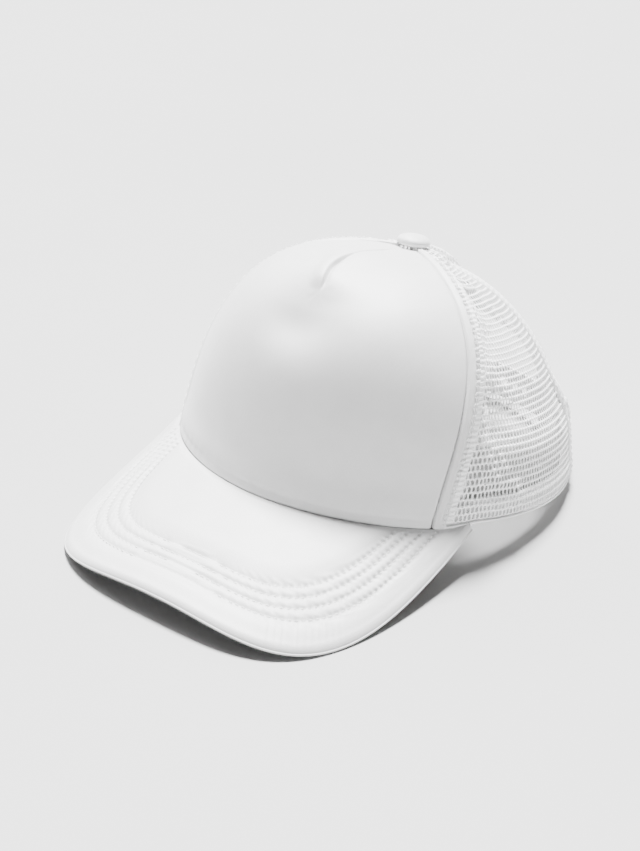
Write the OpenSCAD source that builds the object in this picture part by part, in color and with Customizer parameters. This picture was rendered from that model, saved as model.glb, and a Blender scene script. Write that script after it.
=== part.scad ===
// Baseball cap with a foam front, an open mesh back and a plastic snap strap.
// It stands as it rests on a flat surface: +Z up, brim towards -Y, the wearer's left towards +X.
// The shape is worked out upright, as worn, with height 0 at the front centre of the brim seam,
// and settle() then leans it back onto the brim's side edges and the two rear feet.
// Lengths are in millimetres. An angle round the crown starts at the front and grows to the left.

/* [Crown] */
// Half the outside width of the head opening
half_width = 99; // [90:1:106]
// Outside length from the opening's centre to its front
front_length = 100.5; // [94:0.5:106]
// Outside length from the opening's centre to its back
back_length = 97; // [90:0.5:104]
// Height of the button seat above the brim seam
crown_height = 101; // [92:1:112]
// Distance of the button behind the opening's centre
button_setback = 6; // [0:0.5:12]
// Front profile: lower reach, lower rise, upper reach and upper rise of its curve
front_profile = [0.93, 0.47, 1.04, 1.08]; // [0.3:0.01:1.2]
// Side profile, in the same order
side_profile = [0.95, 0.42, 0.70, 1.06]; // [0.3:0.01:1.2]
// Back profile, in the same order
back_profile = [1.03, 0.44, 0.56, 0.99]; // [0.3:0.01:1.2]

/* [Panels] */
// Half angle of the front panel at the brim seam
front_seam_angle = 49.5; // [44:0.5:54]
// How much further round the front panel reaches at mid height
front_seam_bow = 7.7; // [0:0.1:10]
// Angle of the side seams
side_seam_angle = 114; // [105:1:122]
// Width of the smooth trims beside the front panel
trim_width = 6; // [4:0.5:8]
// Width of the tapes over the inner seams
tape_width = 13; // [8:1:16]
// Thickness of the front panel's foam
foam_thickness = 3.2; // [2:0.2:4]
// Thickness of the cloth and of the thin tapes
cloth_thickness = 0.5; // [0.4:0.1:0.6]
// Thickness of the mesh
mesh_thickness = 0.8; // [0.6:0.1:1]

/* [Brim] */
// Length of the brim ahead of its seam, measured level
brim_length = 61; // [50:1:72]
// Downward pitch of the brim
brim_pitch = 25.3; // [15:0.1:30]
// How far the brim's side edges drop below its centre line
brim_drop = 25; // [15:1:32]
// Share of that drop that comes only near the side edges
brim_edge_share = 0.13; // [0:0.01:0.4]
// Angle round the crown at which the brim ends
brim_end_angle = 62; // [56:1:70]
// Squareness of the brim's front corners, 2 is an ellipse
brim_squareness = 3.8; // [2:0.1:5]
// Thickness of the finished brim
brim_thickness = 4.6; // [4:0.1:6]
// Thickness of the board in the brim
board_thickness = 1.8; // [1.2:0.1:2.4]
// Rows of stitching on the brim
stitch_rows = 4; // [2:1:6]
// Distance between those rows
stitch_pitch = 4.3; // [3:0.1:6]
// Distance from the brim's edge to the outermost row
stitch_margin = 10; // [6:0.5:14]

/* [Sweatband] */
// Height of the sweatband
sweatband_height = 33; // [25:1:38]
// Thickness of the sweatband with its padding
sweatband_thickness = 2; // [1.5:0.1:2.6]

/* [Button] */
// Diameter of the covered button
button_diameter = 16.5; // [12:0.5:20]
// Height of the covered button
button_height = 4.6; // [3.5:0.1:6]

/* [Snap straps] */
// Width of the straps
strap_width = 19; // [14:1:22]
// Thickness of the straps
strap_thickness = 1.2; // [0.9:0.1:1.5]
// Height of the straps above the rim
strap_lift = 4.5; // [3:0.5:8]
// Snap holes, and snap pegs, on each strap
snap_count = 7; // [5:1:8]
// Pegs that are snapped into holes
snaps_closed = 4; // [3:1:5]
// Distance between neighbouring snap holes
snap_pitch = 8.5; // [7.5:0.5:9.5]
// Radius of a snap hole
snap_hole_radius = 2.6; // [2.4:0.1:3]
// Radius of a snap peg
snap_peg_radius = 2.05; // [1.8:0.05:2.2]
// Height of the rear arch above the rim
arch_height = 51; // [42:1:60]

/* [Rim] */
// Rise of the rim from the ends of the brim to the back, as worn
rear_rise = 7.4; // [0:0.1:12]

/* [Hidden] */
$fn = 48;

// Clear space between neighbouring panels, and between layers that share their facets
layer_gap = 0.1;
// Clear space between curved layers whose facets differ
facet_gap = 0.3;
// Clear space between pieces that move past each other
free_gap = 0.3;
// The panels end at this share of the way up the crown, under the button
panel_top = 0.975;
// Depths below the crown's outer skin at which the inner layers start
tape_depth = mesh_thickness + facet_gap;
hem_depth = tape_depth + cloth_thickness + facet_gap;
hole_strap_depth = hem_depth + cloth_thickness + free_gap;
peg_strap_depth = hole_strap_depth + strap_thickness + free_gap;
sweatband_depth = peg_strap_depth + strap_thickness + free_gap;
foam_depth = cloth_thickness + layer_gap;
binding_depth = foam_depth + foam_thickness + 2*layer_gap;
// The hems' cloth under the rim
hem_drop = 1;
hem_height = 10;
// The brim starts this far outside the crown
brim_standoff = 0.4;

// ---- Curves ----

function lerp(a, b, w) = a + (b - a)*w;
function limit(w) = max(0, min(1, w));
function ease(w) = limit(w)*limit(w)*(3 - 2*limit(w));
function unit(v) = v/norm(v);
function steps(from, to, count) = [for (i = [0:count]) lerp(from, to, i/count)];
function signed_power(v, p) = sign(v)*pow(abs(v), p);

// Outside edge of the head opening
function opening(angle, grow = 0) = [
    (half_width + grow)*sin(angle),
    -((cos(angle) > 0 ? front_length : back_length) + grow)*cos(angle)];

// Height of the brim's top surface
brim_end = opening(brim_end_angle);
function brim_height(x, y) =
    let (reach = pow(x/brim_end.x, 2))
    tan(brim_pitch)*(y + front_length)
        - brim_drop*lerp(reach, reach*reach, brim_edge_share);

// ---- Brim ----

brim_reach = brim_end.y + front_length + brim_length;
// A run across the brim goes from -1 to 1, and is stretched to bunch points at the corners
run_end = 0.97;
function brim_turn(run) = 90*sign(run)*(1 - pow(1 - abs(run), 2));
function brim_edge_at(turn, grow = 0) =
    let (p = 2/brim_squareness)
    [(brim_end.x + grow)*signed_power(sin(turn), p),
     brim_end.y - (brim_reach + grow)*pow(cos(turn), p)];
function brim_edge(run, grow = 0) = brim_edge_at(brim_turn(run), grow);
// A point at a depth under the brim's top surface
function brim_point(p, depth) = [p.x, p.y, brim_height(p.x, p.y) - depth];
// Rows of a sheet of the brim from its seam to its edge, then round the edge on a given radius.
// side is 1 for a sheet that rolls down from the top and -1 for one that rolls up from below.
function brim_skin(depth, roll = 0, side = 1) =
    let (flat_edge = -brim_thickness/2)
    concat(
        [for (v = steps(0, 1, 7)) [for (run = steps(-run_end, run_end, 36))
            brim_point(lerp(opening(run*brim_end_angle, brim_standoff),
                            brim_edge(run, flat_edge), v), depth)]],
        roll == 0 ? [] :
        [for (turn = [30, 60, 90]) [for (run = steps(-run_end, run_end, 36))
            brim_point(brim_edge(run, flat_edge + roll*sin(turn)),
                       depth + side*roll*(1 - cos(turn)))]]);

// ---- Snap strap layout, around the centre of the opening's back curve ----

strap_bore_radius = pow(half_width - hole_strap_depth, 2)/(back_length - hole_strap_depth);
strap_centre = back_length - hole_strap_depth - strap_bore_radius;
first_snap = 8;
strap_end_margin = 6;
function degrees_along(distance) = distance/strap_bore_radius*180/PI;
strap_span = 2*first_snap + (2*snap_count - snaps_closed - 1)*snap_pitch;
strap_reach = degrees_along(first_snap + (snap_count - 1)*snap_pitch + strap_end_margin);
hinge_angle = degrees_along(strap_span/2);
// Gap that stands for the flexible web between a strap and its tab
hinge_gap = strap_thickness/2 + free_gap;
// The arch leaves room for the straps to swing
arch_angle = hinge_angle + 3.3;

// ---- Rim ----

// Height of the rim: along the brim's seam in front, and back from there to the rear feet
side_height = brim_height(brim_end.x, brim_end.y);
function rear_share(angle) = ease((abs(angle) - brim_end_angle)/(180 - brim_end_angle));
function rim_height(angle) =
    let (p = opening(angle))
    abs(angle) <= brim_end_angle ? brim_height(p.x, p.y) : side_height + rear_rise*rear_share(angle);

// Height above the table, less a constant, of an upright point once it is leaned back by tilt
function level(p, tilt = rest_tilt) = p.z*cos(tilt) - p.y*sin(tilt);
foot_angle = 180 - arch_angle;
foot = [each opening(foot_angle), rim_height(foot_angle) - hem_drop];
brim_underside = [for (row = brim_skin(brim_thickness, brim_thickness/2, -1)) each row];
function brim_level(tilt) = min([for (p = brim_underside) level(p, tilt)]);
// The tilt at which the rear feet come down to the brim's lowest level, by halving
function resting_tilt(low = 0, high = 25, turns = 20) =
    let (mid = (low + high)/2)
    turns == 0 ? mid
    : level(foot, mid) > brim_level(mid) ? resting_tilt(mid, high, turns - 1)
    : resting_tilt(low, mid, turns - 1);
rest_tilt = resting_tilt();
table_level = brim_level(rest_tilt);

// ---- Crown ----

// Bezier weights of a profile from the rim, t = 0, to the button, t = 1
function profile(angle, i) =
    let (front = max(cos(angle), 0), back = max(-cos(angle), 0))
    front*front_profile[i] + back*back_profile[i] + (1 - front - back)*side_profile[i];
function reach(angle, t) =
    pow(1 - t, 3) + 3*t*pow(1 - t, 2)*profile(angle, 0) + 3*t*t*(1 - t)*profile(angle, 2);
function rise(angle, t) =
    3*t*pow(1 - t, 2)*profile(angle, 1) + 3*t*t*(1 - t)*profile(angle, 3) + pow(t, 3);

// Outer skin of the crown
function skin(angle, t) =
    let (rim = opening(angle), r = reach(angle, t), h = rise(angle, t))
    [rim.x*r, (rim.y - button_setback)*r + button_setback, lerp(rim_height(angle), crown_height, h)];
// The same, at a depth below the skin
function crown(angle, t, depth = 0) =
    let (d = 0.01,
         across = skin(angle + d*40, t) - skin(angle - d*40, t),
         up = skin(angle, t + d) - skin(angle, t - d))
    skin(angle, t) - depth*unit(cross(across, up));
// The t of a height above the rim, by halving
function t_at(angle, height, low = -0.1, high = 0.7, turns = 16) =
    let (mid = (low + high)/2)
    turns == 0 ? mid
    : skin(angle, mid).z - rim_height(angle) < height ? t_at(angle, height, mid, high, turns - 1)
    : t_at(angle, height, low, mid, turns - 1);
// The angle that lies a distance further round, narrowing near the button
taper_radius = 30;
function further(angle, t, distance) =
    let (p = skin(angle, t),
         radius = norm([p.x, p.y - button_setback]),
         per_degree = norm(skin(angle + 0.5, t) - skin(angle - 0.5, t)))
    angle + distance*min(1, radius/taper_radius)/per_degree;

// Seams, each an angle at t
function front_seam(t) = front_seam_angle + front_seam_bow*sin(180*pow(limit(t), 1.22));
function trim_seam(t) = further(front_seam(t), t, trim_width);

// ---- Rear arch and straps ----

arch_sides = 3.2;
arch_top = t_at(180, arch_height);
// Straps lean inwards with the crown
function strap_point(height) = crown(foot_angle, t_at(foot_angle, height), hole_strap_depth);
strap_foot = strap_point(strap_lift);
strap_head = strap_point(strap_lift + strap_width);
function from_strap_centre(p) = norm([p.x, p.y - strap_centre]);
strap_radius = from_strap_centre(strap_foot);
strap_lean = atan2(strap_radius - from_strap_centre(strap_head), strap_head.z - strap_foot.z);

// Half angle of the arch at t, and a point of its edge that is moved out by grow
per_turn = 2*PI*half_width/360;
crown_run = 145;
function arch_half(t, grow = 0) =
    let (w = limit(t/(arch_top + grow/crown_run)))
    (arch_angle + grow/per_turn)*sqrt(1 - pow(w, arch_sides));
arch_foot = 0.006;
function arch_edge(turn, grow, depth) =
    crown(180 + (arch_angle + grow/per_turn)*cos(turn),
          lerp(arch_foot, arch_top + grow/crown_run, pow(sin(turn), 2/arch_sides)), depth);

// Rows of stitching
function stitch_edge(row, turn) =
    brim_edge_at(turn, -stitch_margin - row*stitch_pitch);
// The turn at which a row meets the crown, by halving
function row_end(row, low = 60, high = 90, turns = 14) =
    let (mid = (low + high)/2,
         p = stitch_edge(row, mid),
         outside = pow(p.x/(half_width + 1.5), 2) + pow(p.y/(front_length + 1.5), 2) > 1)
    turns == 0 ? low
    : outside ? row_end(row, mid, high, turns - 1)
    : row_end(row, low, mid, turns - 1);

// ---- Solids ----

// Leans the upright shape back and moves it onto the table, centred on its length
function settled_y(p) = p.y*cos(rest_tilt) + p.z*sin(rest_tilt);
brim_front = min([for (p = brim_underside) settled_y(p)]);
strap_back = settled_y([0, strap_centre + from_strap_centre(strap_head), strap_head.z]);
centre_y = (brim_front + strap_back)/2;
module settle() {
    translate([0, -centre_y, -table_level])
        rotate([-rest_tilt, 0, 0])
            children();
}

// Closed solid between two matching grids of points
module slab(near, far) {
    rows = len(near);
    cols = len(near[0]);
    layer = rows*cols;
    function at(i, j, k) = k*layer + i*cols + j;
    function pair(a, b, c, d) = [[a, b, c], [a, c, d]];
    faces = concat(
        [for (i = [0:rows - 2]) for (j = [0:cols - 2])
            each pair(at(i, j, 0), at(i, j + 1, 0), at(i + 1, j + 1, 0), at(i + 1, j, 0))],
        [for (i = [0:rows - 2]) for (j = [0:cols - 2])
            each pair(at(i + 1, j, 1), at(i + 1, j + 1, 1), at(i, j + 1, 1), at(i, j, 1))],
        [for (i = [0:rows - 2])
            each pair(at(i, 0, 0), at(i + 1, 0, 0), at(i + 1, 0, 1), at(i, 0, 1))],
        [for (i = [0:rows - 2])
            each pair(at(i + 1, cols - 1, 0), at(i, cols - 1, 0),
                      at(i, cols - 1, 1), at(i + 1, cols - 1, 1))],
        [for (j = [0:cols - 2])
            each pair(at(0, j + 1, 0), at(0, j, 0), at(0, j, 1), at(0, j + 1, 1))],
        [for (j = [0:cols - 2])
            each pair(at(rows - 1, j, 0), at(rows - 1, j + 1, 0),
                      at(rows - 1, j + 1, 1), at(rows - 1, j, 1))]);
    polyhedron([for (grid = [near, far]) for (row = grid) each row], faces);
}

// Closed solid through a row of equal outlines, with its ends closed by the given triangles
module sweep(outlines, ends) {
    count = len(outlines);
    sides = len(outlines[0]);
    faces = concat(
        [for (i = [0:count - 2]) for (j = [0:sides - 1])
            let (a = i*sides + j, b = i*sides + (j + 1)%sides)
            each [[a, b, b + sides], [a, b + sides, a + sides]]],
        [for (t = ends) [t[2], t[1], t[0]]],
        [for (t = ends) [for (i = t) i + (count - 1)*sides]]);
    polyhedron([for (outline = outlines) each outline], faces);
}

// Thin round thread along a row of points, with its outward direction at each
thread_radius = 0.35;
square_end = [[0, 1, 2], [0, 2, 3]];
module thread(points, outward) {
    last = len(points) - 1;
    sweep([for (i = [0:last])
        let (along = points[min(i + 1, last)] - points[max(i - 1, 0)],
             side = thread_radius*unit(cross(along, outward[i])),
             up = thread_radius*outward[i])
        [points[i] - side, points[i] - up, points[i] + side, points[i] + up]], square_end);
}

// Part of the crown between two seams, given at t as angles, and between two depths
module panel(levels, cols, depths, from, to) {
    grids = [for (depth = depths)
        [for (t = levels) [for (w = steps(0, 1, cols)) crown(lerp(from(t), to(t), w), t, depth)]]];
    slab(grids[0], grids[1]);
}
// The same on the wearer's left or right
module on_side(side) {
    mirror([side == "left" ? 0 : 1, 0, 0])
        children();
}

front_low = t_at(0, -0.8);
front_levels = steps(front_low, panel_top, 15);
function front_edge(t) = further(front_seam(t), t, -layer_gap);
module front_layer(depths) {
    settle()
        panel(front_levels, 24, depths, function(t) -front_edge(t), function(t) front_edge(t));
}
module front_fabric() {
    color([0.93, 0.93, 0.93])
        front_layer([0, cloth_thickness]);
}
module front_foam() {
    color([0.96, 0.96, 0.92])
        front_layer([foam_depth, foam_depth + foam_thickness]);
}

module seam_trim(side) {
    color([0.9, 0.9, 0.9])
        settle() on_side(side)
            panel(front_levels, 2, [0, mesh_thickness], function(t) further(front_seam(t), t, layer_gap),
                  function(t) further(front_seam(t), t, trim_width - layer_gap));
}
module side_mesh(side) {
    color([0.97, 0.97, 0.97])
        settle() on_side(side)
            panel(steps(0, panel_top, 14), 12, [0, mesh_thickness],
                  function(t) further(trim_seam(t), t, layer_gap),
                  function(t) further(side_seam_angle, t, -layer_gap));
}
// Rows bunch towards the top of the arch, where the panel's edge turns
mesh_edge = 1.5;
mesh_arch_top = arch_top + mesh_edge/crown_run;
back_levels = concat([for (i = [0:11]) mesh_arch_top*sin(90*i/12)], steps(mesh_arch_top, panel_top, 7));
module back_mesh(side) {
    color([0.97, 0.97, 0.97])
        settle() on_side(side)
            panel(back_levels, 12, [0, mesh_thickness],
                  function(t) further(side_seam_angle, t, layer_gap),
                  function(t) further(180 - arch_half(t, mesh_edge), t, -layer_gap));
}

module front_seam_tape(side) {
    color([0.88, 0.88, 0.88])
        settle() on_side(side)
            panel(front_levels, 2, [tape_depth, tape_depth + cloth_thickness],
                  function(t) further(front_seam(t), t, 2*layer_gap),
                  function(t) further(front_seam(t), t, tape_width));
}
module side_seam_tape(side) {
    color([0.88, 0.88, 0.88])
        settle() on_side(side)
            panel(steps(0, panel_top, 14), 2, [tape_depth, tape_depth + cloth_thickness],
                  function(t) further(side_seam_angle, t, -tape_width/2),
                  function(t) further(side_seam_angle, t, tape_width/2));
}
binding_width = 7;
module centre_back_tape() {
    color([0.88, 0.88, 0.88])
        settle()
            panel(steps(arch_top + (binding_width + 1)/crown_run, panel_top, 8), 2,
                  [tape_depth, tape_depth + cloth_thickness],
                  function(t) further(180, t, -tape_width/2), function(t) further(180, t, tape_width/2));
}

// Cloth folded round an edge: a web below it and a leg that stands behind it.
// web and leg are the depths that they start and end at, low and high are the web's heights.
folded_end = [[0, 1, 2], [0, 2, 3], [0, 3, 6], [0, 6, 7], [3, 4, 5], [3, 5, 6]];
module folded_band(angles, web, leg, low, high, leg_height) {
    sweep([for (angle = angles)
        let (bottom = t_at(angle, low), top = t_at(angle, high), leg_top = t_at(angle, leg_height))
        [crown(angle, bottom, web[0]), crown(angle, bottom, web[1]),
         crown(angle, top, web[1]), crown(angle, top, leg[1]),
         crown(angle, leg_top, leg[1]), crown(angle, leg_top, leg[0]),
         crown(angle, top, leg[0]), crown(angle, top, web[0])]], folded_end);
}
module rim_hem(side) {
    color([0.9, 0.9, 0.9])
        settle() on_side(side)
            folded_band(steps(brim_end_angle + 1, foot_angle - 0.6, 20),
                        [0, sweatband_depth - free_gap], [hem_depth, hem_depth + cloth_thickness],
                        -hem_drop, -layer_gap, hem_height);
}
module brim_seam_binding() {
    color([0.9, 0.9, 0.9])
        settle()
            folded_band(steps(1 - brim_end_angle, brim_end_angle - 1, 36),
                        [-brim_standoff/2, sweatband_depth - layer_gap],
                        [binding_depth, binding_depth + cloth_thickness], -2, -1, 8);
}

arch_end = [[0, 1, 2], [0, 2, 3], [0, 3, 4], [0, 4, 7], [4, 5, 6], [4, 6, 7]];
module rear_arch_binding() {
    outside = -facet_gap - cloth_thickness;
    inside = tape_depth + cloth_thickness;
    web = mesh_edge - 3*facet_gap;
    color([0.9, 0.9, 0.9])
        settle()
            sweep([for (turn = steps(0, 180, 32))
                [arch_edge(turn, 0, outside), arch_edge(turn, binding_width, outside),
                 arch_edge(turn, binding_width, -facet_gap), arch_edge(turn, web, -facet_gap),
                 arch_edge(turn, web, tape_depth), arch_edge(turn, binding_width, tape_depth),
                 arch_edge(turn, binding_width, inside), arch_edge(turn, 0, inside)]], arch_end);
}

// The sweatband hangs lower in front, where it covers the brim's seam
sweatband_end = foot_angle - 5;
function sweatband_low(angle) = -0.6 - 2*limit((brim_end_angle - abs(angle))/20);
module sweatband_layer(depths) {
    heights = [0, 0.25, 0.6, 1];
    grids = [for (depth = depths) [for (share = heights)
        [for (angle = steps(-sweatband_end, sweatband_end, 64))
            crown(angle, t_at(angle, lerp(sweatband_low(angle), sweatband_height, share)), depth)]]];
    settle()
        slab(grids[0], grids[1]);
}
facing_thickness = 0.7;
facing_depth = sweatband_depth + sweatband_thickness - facing_thickness;
module sweatband_foam() {
    color([0.95, 0.95, 0.9])
        sweatband_layer([sweatband_depth, facing_depth - layer_gap]);
}
module sweatband_cloth() {
    color([0.94, 0.94, 0.94])
        sweatband_layer([facing_depth, facing_depth + facing_thickness]);
}

// Layers of the brim, from the top: cover, padding, board and lower cover
padding_low = brim_thickness - cloth_thickness - board_thickness - 2*layer_gap;
module brim_sheet(high, low) {
    settle()
        slab(brim_skin(high), brim_skin(low));
}
module brim_cover(side, depth) {
    roll = brim_thickness/2 - layer_gap/2;
    inner_roll = roll - cloth_thickness;
    settle()
        slab(brim_skin(depth, roll, side), brim_skin(depth + side*cloth_thickness, inner_roll, side));
}
module brim_top_cover() {
    color([0.94, 0.94, 0.94])
        brim_cover(1, 0);
}
module brim_padding() {
    color([0.96, 0.96, 0.92])
        brim_sheet(cloth_thickness + layer_gap, padding_low - layer_gap);
}
module brim_board() {
    color([0.85, 0.85, 0.82])
        brim_sheet(padding_low, padding_low + board_thickness);
}
module brim_under_cover() {
    color([0.92, 0.92, 0.92])
        brim_cover(-1, brim_thickness);
}
module brim_stitching() {
    lift = thread_radius + layer_gap;
    color([1, 1, 1])
        settle()
            for (row = [0:stitch_rows - 1]) {
                end = row_end(row);
                path = [for (turn = steps(-end, end, 40)) brim_point(stitch_edge(row, turn), -lift)];
                thread(path, [for (p = path) [0, 0, 1]]);
            }
}
module panel_stitching() {
    lift = -thread_radius - layer_gap;
    levels = steps(0.02, 0.93, 24);
    color([1, 1, 1])
        settle() for (side = ["left", "right"]) on_side(side) {
            path = [for (t = levels) crown(further(front_seam(t), t, trim_width - 1), t, lift)];
            thread(path, [for (t = levels)
                unit(crown(trim_seam(t), t, -1) - crown(trim_seam(t), t, 0))]);
        }
}

// The button sits on the panels' tips, and its rivet goes down through them
button_lift = 1;
button_cover_thickness = 0.5;
rivet_radius = 1.5;
module on_crown_top(height = 0) {
    settle()
        translate([0, button_setback, crown_height + height])
            children();
}
// Half outline of a dome with a rounded edge
module dome(radius, height) {
    edge = height*0.45;
    sag = height - edge;
    ball = (pow(radius - edge*0.4, 2) + sag*sag)/(2*sag);
    intersection() {
        square([radius, height]);
        union() {
            translate([0, height - ball]) circle(ball, $fn = 128);
            square([0.01, height]);
        }
        union() {
            square([radius - edge, height]);
            translate([radius - edge, edge]) circle(edge);
            square([radius, edge]);
        }
    }
}
module button_cover() {
    color([0.97, 0.97, 0.97])
        on_crown_top(button_lift)
            rotate_extrude()
                difference() {
                    dome(button_diameter/2, button_height);
                    dome(button_diameter/2 - button_cover_thickness, button_height - button_cover_thickness);
                }
}
module button_shell() {
    radius = button_diameter/2 - button_cover_thickness - layer_gap;
    height = button_height - button_cover_thickness - layer_gap;
    color([0.8, 0.8, 0.8])
        on_crown_top(button_lift)
            rotate_extrude()
                difference() {
                    dome(radius, height);
                    square([rivet_radius + layer_gap, height/2]);
                }
}
module button_rivet() {
    washer_radius = 6;
    washer_depth = 6.5;
    color([0.7, 0.7, 0.7])
        on_crown_top(-washer_depth) {
            cylinder(r = washer_radius, h = 1);
            cylinder(r = rivet_radius, h = washer_depth + button_lift + 1.5);
        }
}

// ---- Snap straps ----

// Stands children at the foot of the straps' outer face, at a turn from the centre back towards
// the left: x points outwards, y round towards the right and z up the face
module on_strap(turn) {
    translate([0, strap_centre, strap_foot.z])
        rotate([0, 0, 90 - turn])
            translate([strap_radius, 0, 0])
                rotate([0, -strap_lean, 0])
                    children();
}
// Band between two depths behind the straps' outer face
strap_rise = strap_width*cos(strap_lean);
strap_shift = strap_width*sin(strap_lean);
module band(depth, from, to) {
    radius = strap_radius - depth;
    translate([0, strap_centre, strap_foot.z])
        rotate_extrude(angle = from - to, start = 90 - from)
            polygon([[radius - strap_thickness, 0], [radius, 0], [radius - strap_shift, strap_rise],
                     [radius - strap_thickness - strap_shift, strap_rise]]);
}
function snap_turn(i) = hinge_angle - degrees_along(first_snap + i*snap_pitch);
round_end_turn = hinge_angle - strap_reach;
// Plain strap on the left, with a round free end. It swings about its sewn end.
module strap_blank(depth) {
    end_radius = 0.53*strap_width;
    difference() {
        band(depth, hinge_angle, round_end_turn);
        on_strap(round_end_turn + degrees_along(end_radius))
            difference() {
                translate([-10, 0, -1])
                    cube([20, strap_width, strap_width + 2]);
                translate([-11, 0, strap_width/2])
                    rotate([0, 90, 0])
                        cylinder(r = end_radius, h = 22);
            }
    }
}
module snap_row(from, length, radius) {
    for (i = [0:snap_count - 1])
        on_strap(snap_turn(i))
            translate([from, 0, strap_width/2])
                rotate([0, 90, 0])
                    cylinder(r = radius, h = length);
}
tab_length = 16;
module strap_tab(depth) {
    band(depth, hinge_angle + degrees_along(tab_length), hinge_angle + degrees_along(hinge_gap));
}
module hole_strap() {
    color([0.95, 0.95, 0.95])
        settle() difference() {
            strap_blank(0);
            snap_row(-strap_thickness - 1, strap_thickness + 2, snap_hole_radius);
        }
}
module hole_strap_tab() {
    color([0.92, 0.92, 0.92])
        settle() strap_tab(0);
}
peg_depth = strap_thickness + free_gap;
peg_stand = 0.5;
module peg_strap() {
    color([0.95, 0.95, 0.95])
        settle() mirror([1, 0, 0]) {
            root = peg_depth + strap_thickness/2;
            strap_blank(peg_depth);
            snap_row(-root, root + peg_stand, snap_peg_radius);
        }
}
module peg_strap_tab() {
    color([0.92, 0.92, 0.92])
        settle() mirror([1, 0, 0]) strap_tab(peg_depth);
}

front_fabric();
front_foam();
seam_trim("left");  // seam_trim_left
seam_trim("right");  // seam_trim_right
side_mesh("left");  // side_mesh_left
side_mesh("right");  // side_mesh_right
back_mesh("left");  // back_mesh_left
back_mesh("right");  // back_mesh_right
front_seam_tape("left");  // front_seam_tape_left
front_seam_tape("right");  // front_seam_tape_right
side_seam_tape("left");  // side_seam_tape_left
side_seam_tape("right");  // side_seam_tape_right
centre_back_tape();
rim_hem("left");  // rim_hem_left
rim_hem("right");  // rim_hem_right
rear_arch_binding();
sweatband_foam();
sweatband_cloth();
brim_seam_binding();
brim_board();
brim_padding();
brim_top_cover();
brim_under_cover();
brim_stitching();
panel_stitching();
button_shell();
button_cover();
button_rivet();
hole_strap();
hole_strap_tab();
peg_strap();
peg_strap_tab();
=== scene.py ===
"""Looks of a foam-front, mesh-back baseball cap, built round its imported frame.

The crown, brim and straps repeat the part's own curves, in millimetres and upright as worn,
and settle() leans them back onto the table, in metres. An angle round the crown starts at the
front and grows to the wearer's left; t goes from 0 at the rim to 1 at the button.
"""
import math

import bmesh
import bpy
import numpy as np
from mathutils import Matrix, Vector, kdtree
from mathutils.geometry import delaunay_2d_cdt


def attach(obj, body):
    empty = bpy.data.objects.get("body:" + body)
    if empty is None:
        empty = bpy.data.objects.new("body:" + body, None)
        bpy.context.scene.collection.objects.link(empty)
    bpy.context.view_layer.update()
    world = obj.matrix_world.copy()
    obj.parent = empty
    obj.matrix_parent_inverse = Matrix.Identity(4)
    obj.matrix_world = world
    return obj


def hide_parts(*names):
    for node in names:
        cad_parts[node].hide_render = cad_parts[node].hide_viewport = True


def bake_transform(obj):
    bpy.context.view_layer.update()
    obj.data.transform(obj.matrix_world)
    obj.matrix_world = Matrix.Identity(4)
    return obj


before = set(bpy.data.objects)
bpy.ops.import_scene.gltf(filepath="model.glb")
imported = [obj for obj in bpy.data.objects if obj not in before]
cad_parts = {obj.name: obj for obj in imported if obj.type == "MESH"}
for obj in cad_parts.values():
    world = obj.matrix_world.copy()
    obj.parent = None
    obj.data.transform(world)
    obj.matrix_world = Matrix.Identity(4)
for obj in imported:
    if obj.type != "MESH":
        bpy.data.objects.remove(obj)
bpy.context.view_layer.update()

# ---- Driving values, as in the part apart from the brim, which follows the photograph ----

HALF_WIDTH, FRONT_LENGTH, BACK_LENGTH = 99.0, 100.5, 97.0
CROWN_HEIGHT, BUTTON_SETBACK = 101.0, 6.0
FRONT_PROFILE = (0.93, 0.47, 1.04, 1.08)
SIDE_PROFILE = (0.95, 0.42, 0.70, 1.06)
BACK_PROFILE = (1.03, 0.44, 0.56, 0.99)
FRONT_SEAM_ANGLE, FRONT_SEAM_BOW, SIDE_SEAM_ANGLE = 49.5, 7.7, 114.0
TRIM_WIDTH, TAPE_WIDTH, PANEL_TOP = 6.0, 13.0, 0.975
FOAM_THICKNESS, CLOTH_THICKNESS, MESH_THICKNESS = 3.2, 0.5, 0.8
BRIM_LENGTH, BRIM_SQUARENESS, BRIM_THICKNESS, BRIM_END_ANGLE = 64.4, 3.7, 4.6, 62.0
# Dip, pitch, side drop and edge share: of the part's rim, and of the padded brim, which sags below it
RIM_SHAPE, BRIM_SHAPE = (0.0, 25.3, 25.0, 0.13), (3.05, 24.3, 22.8, 0.28)
BRIM_END_LIFT = 1.7
STITCH_ROWS, STITCH_PITCH, STITCH_MARGIN = 4, 4.3, 10.0
SWEATBAND_HEIGHT, SWEATBAND_THICKNESS = 33.0, 2.0
BUTTON_DIAMETER, BUTTON_HEIGHT, BUTTON_LIFT = 16.5, 4.6, 1.0
STRAP_WIDTH, STRAP_THICKNESS, STRAP_LIFT = 19.0, 1.2, 4.5
SNAP_COUNT, SNAPS_CLOSED, SNAP_PITCH, FIRST_SNAP, STRAP_END_MARGIN = 7, 4, 8.5, 8.0, 6.0
SNAP_HOLE_RADIUS = 2.6
ARCH_HEIGHT, ARCH_SIDES, REAR_RISE, CROWN_RUN = 51.0, 3.2, 7.4, 145.0
LAYER_GAP, FACET_GAP, FREE_GAP = 0.1, 0.3, 0.3
REST_TILT = math.radians(11.4409)
TABLE_SHIFT = np.array([0.0, 34.6173, 11.3346])

TAPE_DEPTH = MESH_THICKNESS + FACET_GAP
HEM_DEPTH = TAPE_DEPTH + CLOTH_THICKNESS + FACET_GAP
HOLE_STRAP_DEPTH = HEM_DEPTH + CLOTH_THICKNESS + FREE_GAP
PEG_STRAP_DEPTH = HOLE_STRAP_DEPTH + STRAP_THICKNESS + FREE_GAP
SWEATBAND_DEPTH = PEG_STRAP_DEPTH + STRAP_THICKNESS + FREE_GAP
FOAM_DEPTH = CLOTH_THICKNESS + LAYER_GAP

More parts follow.
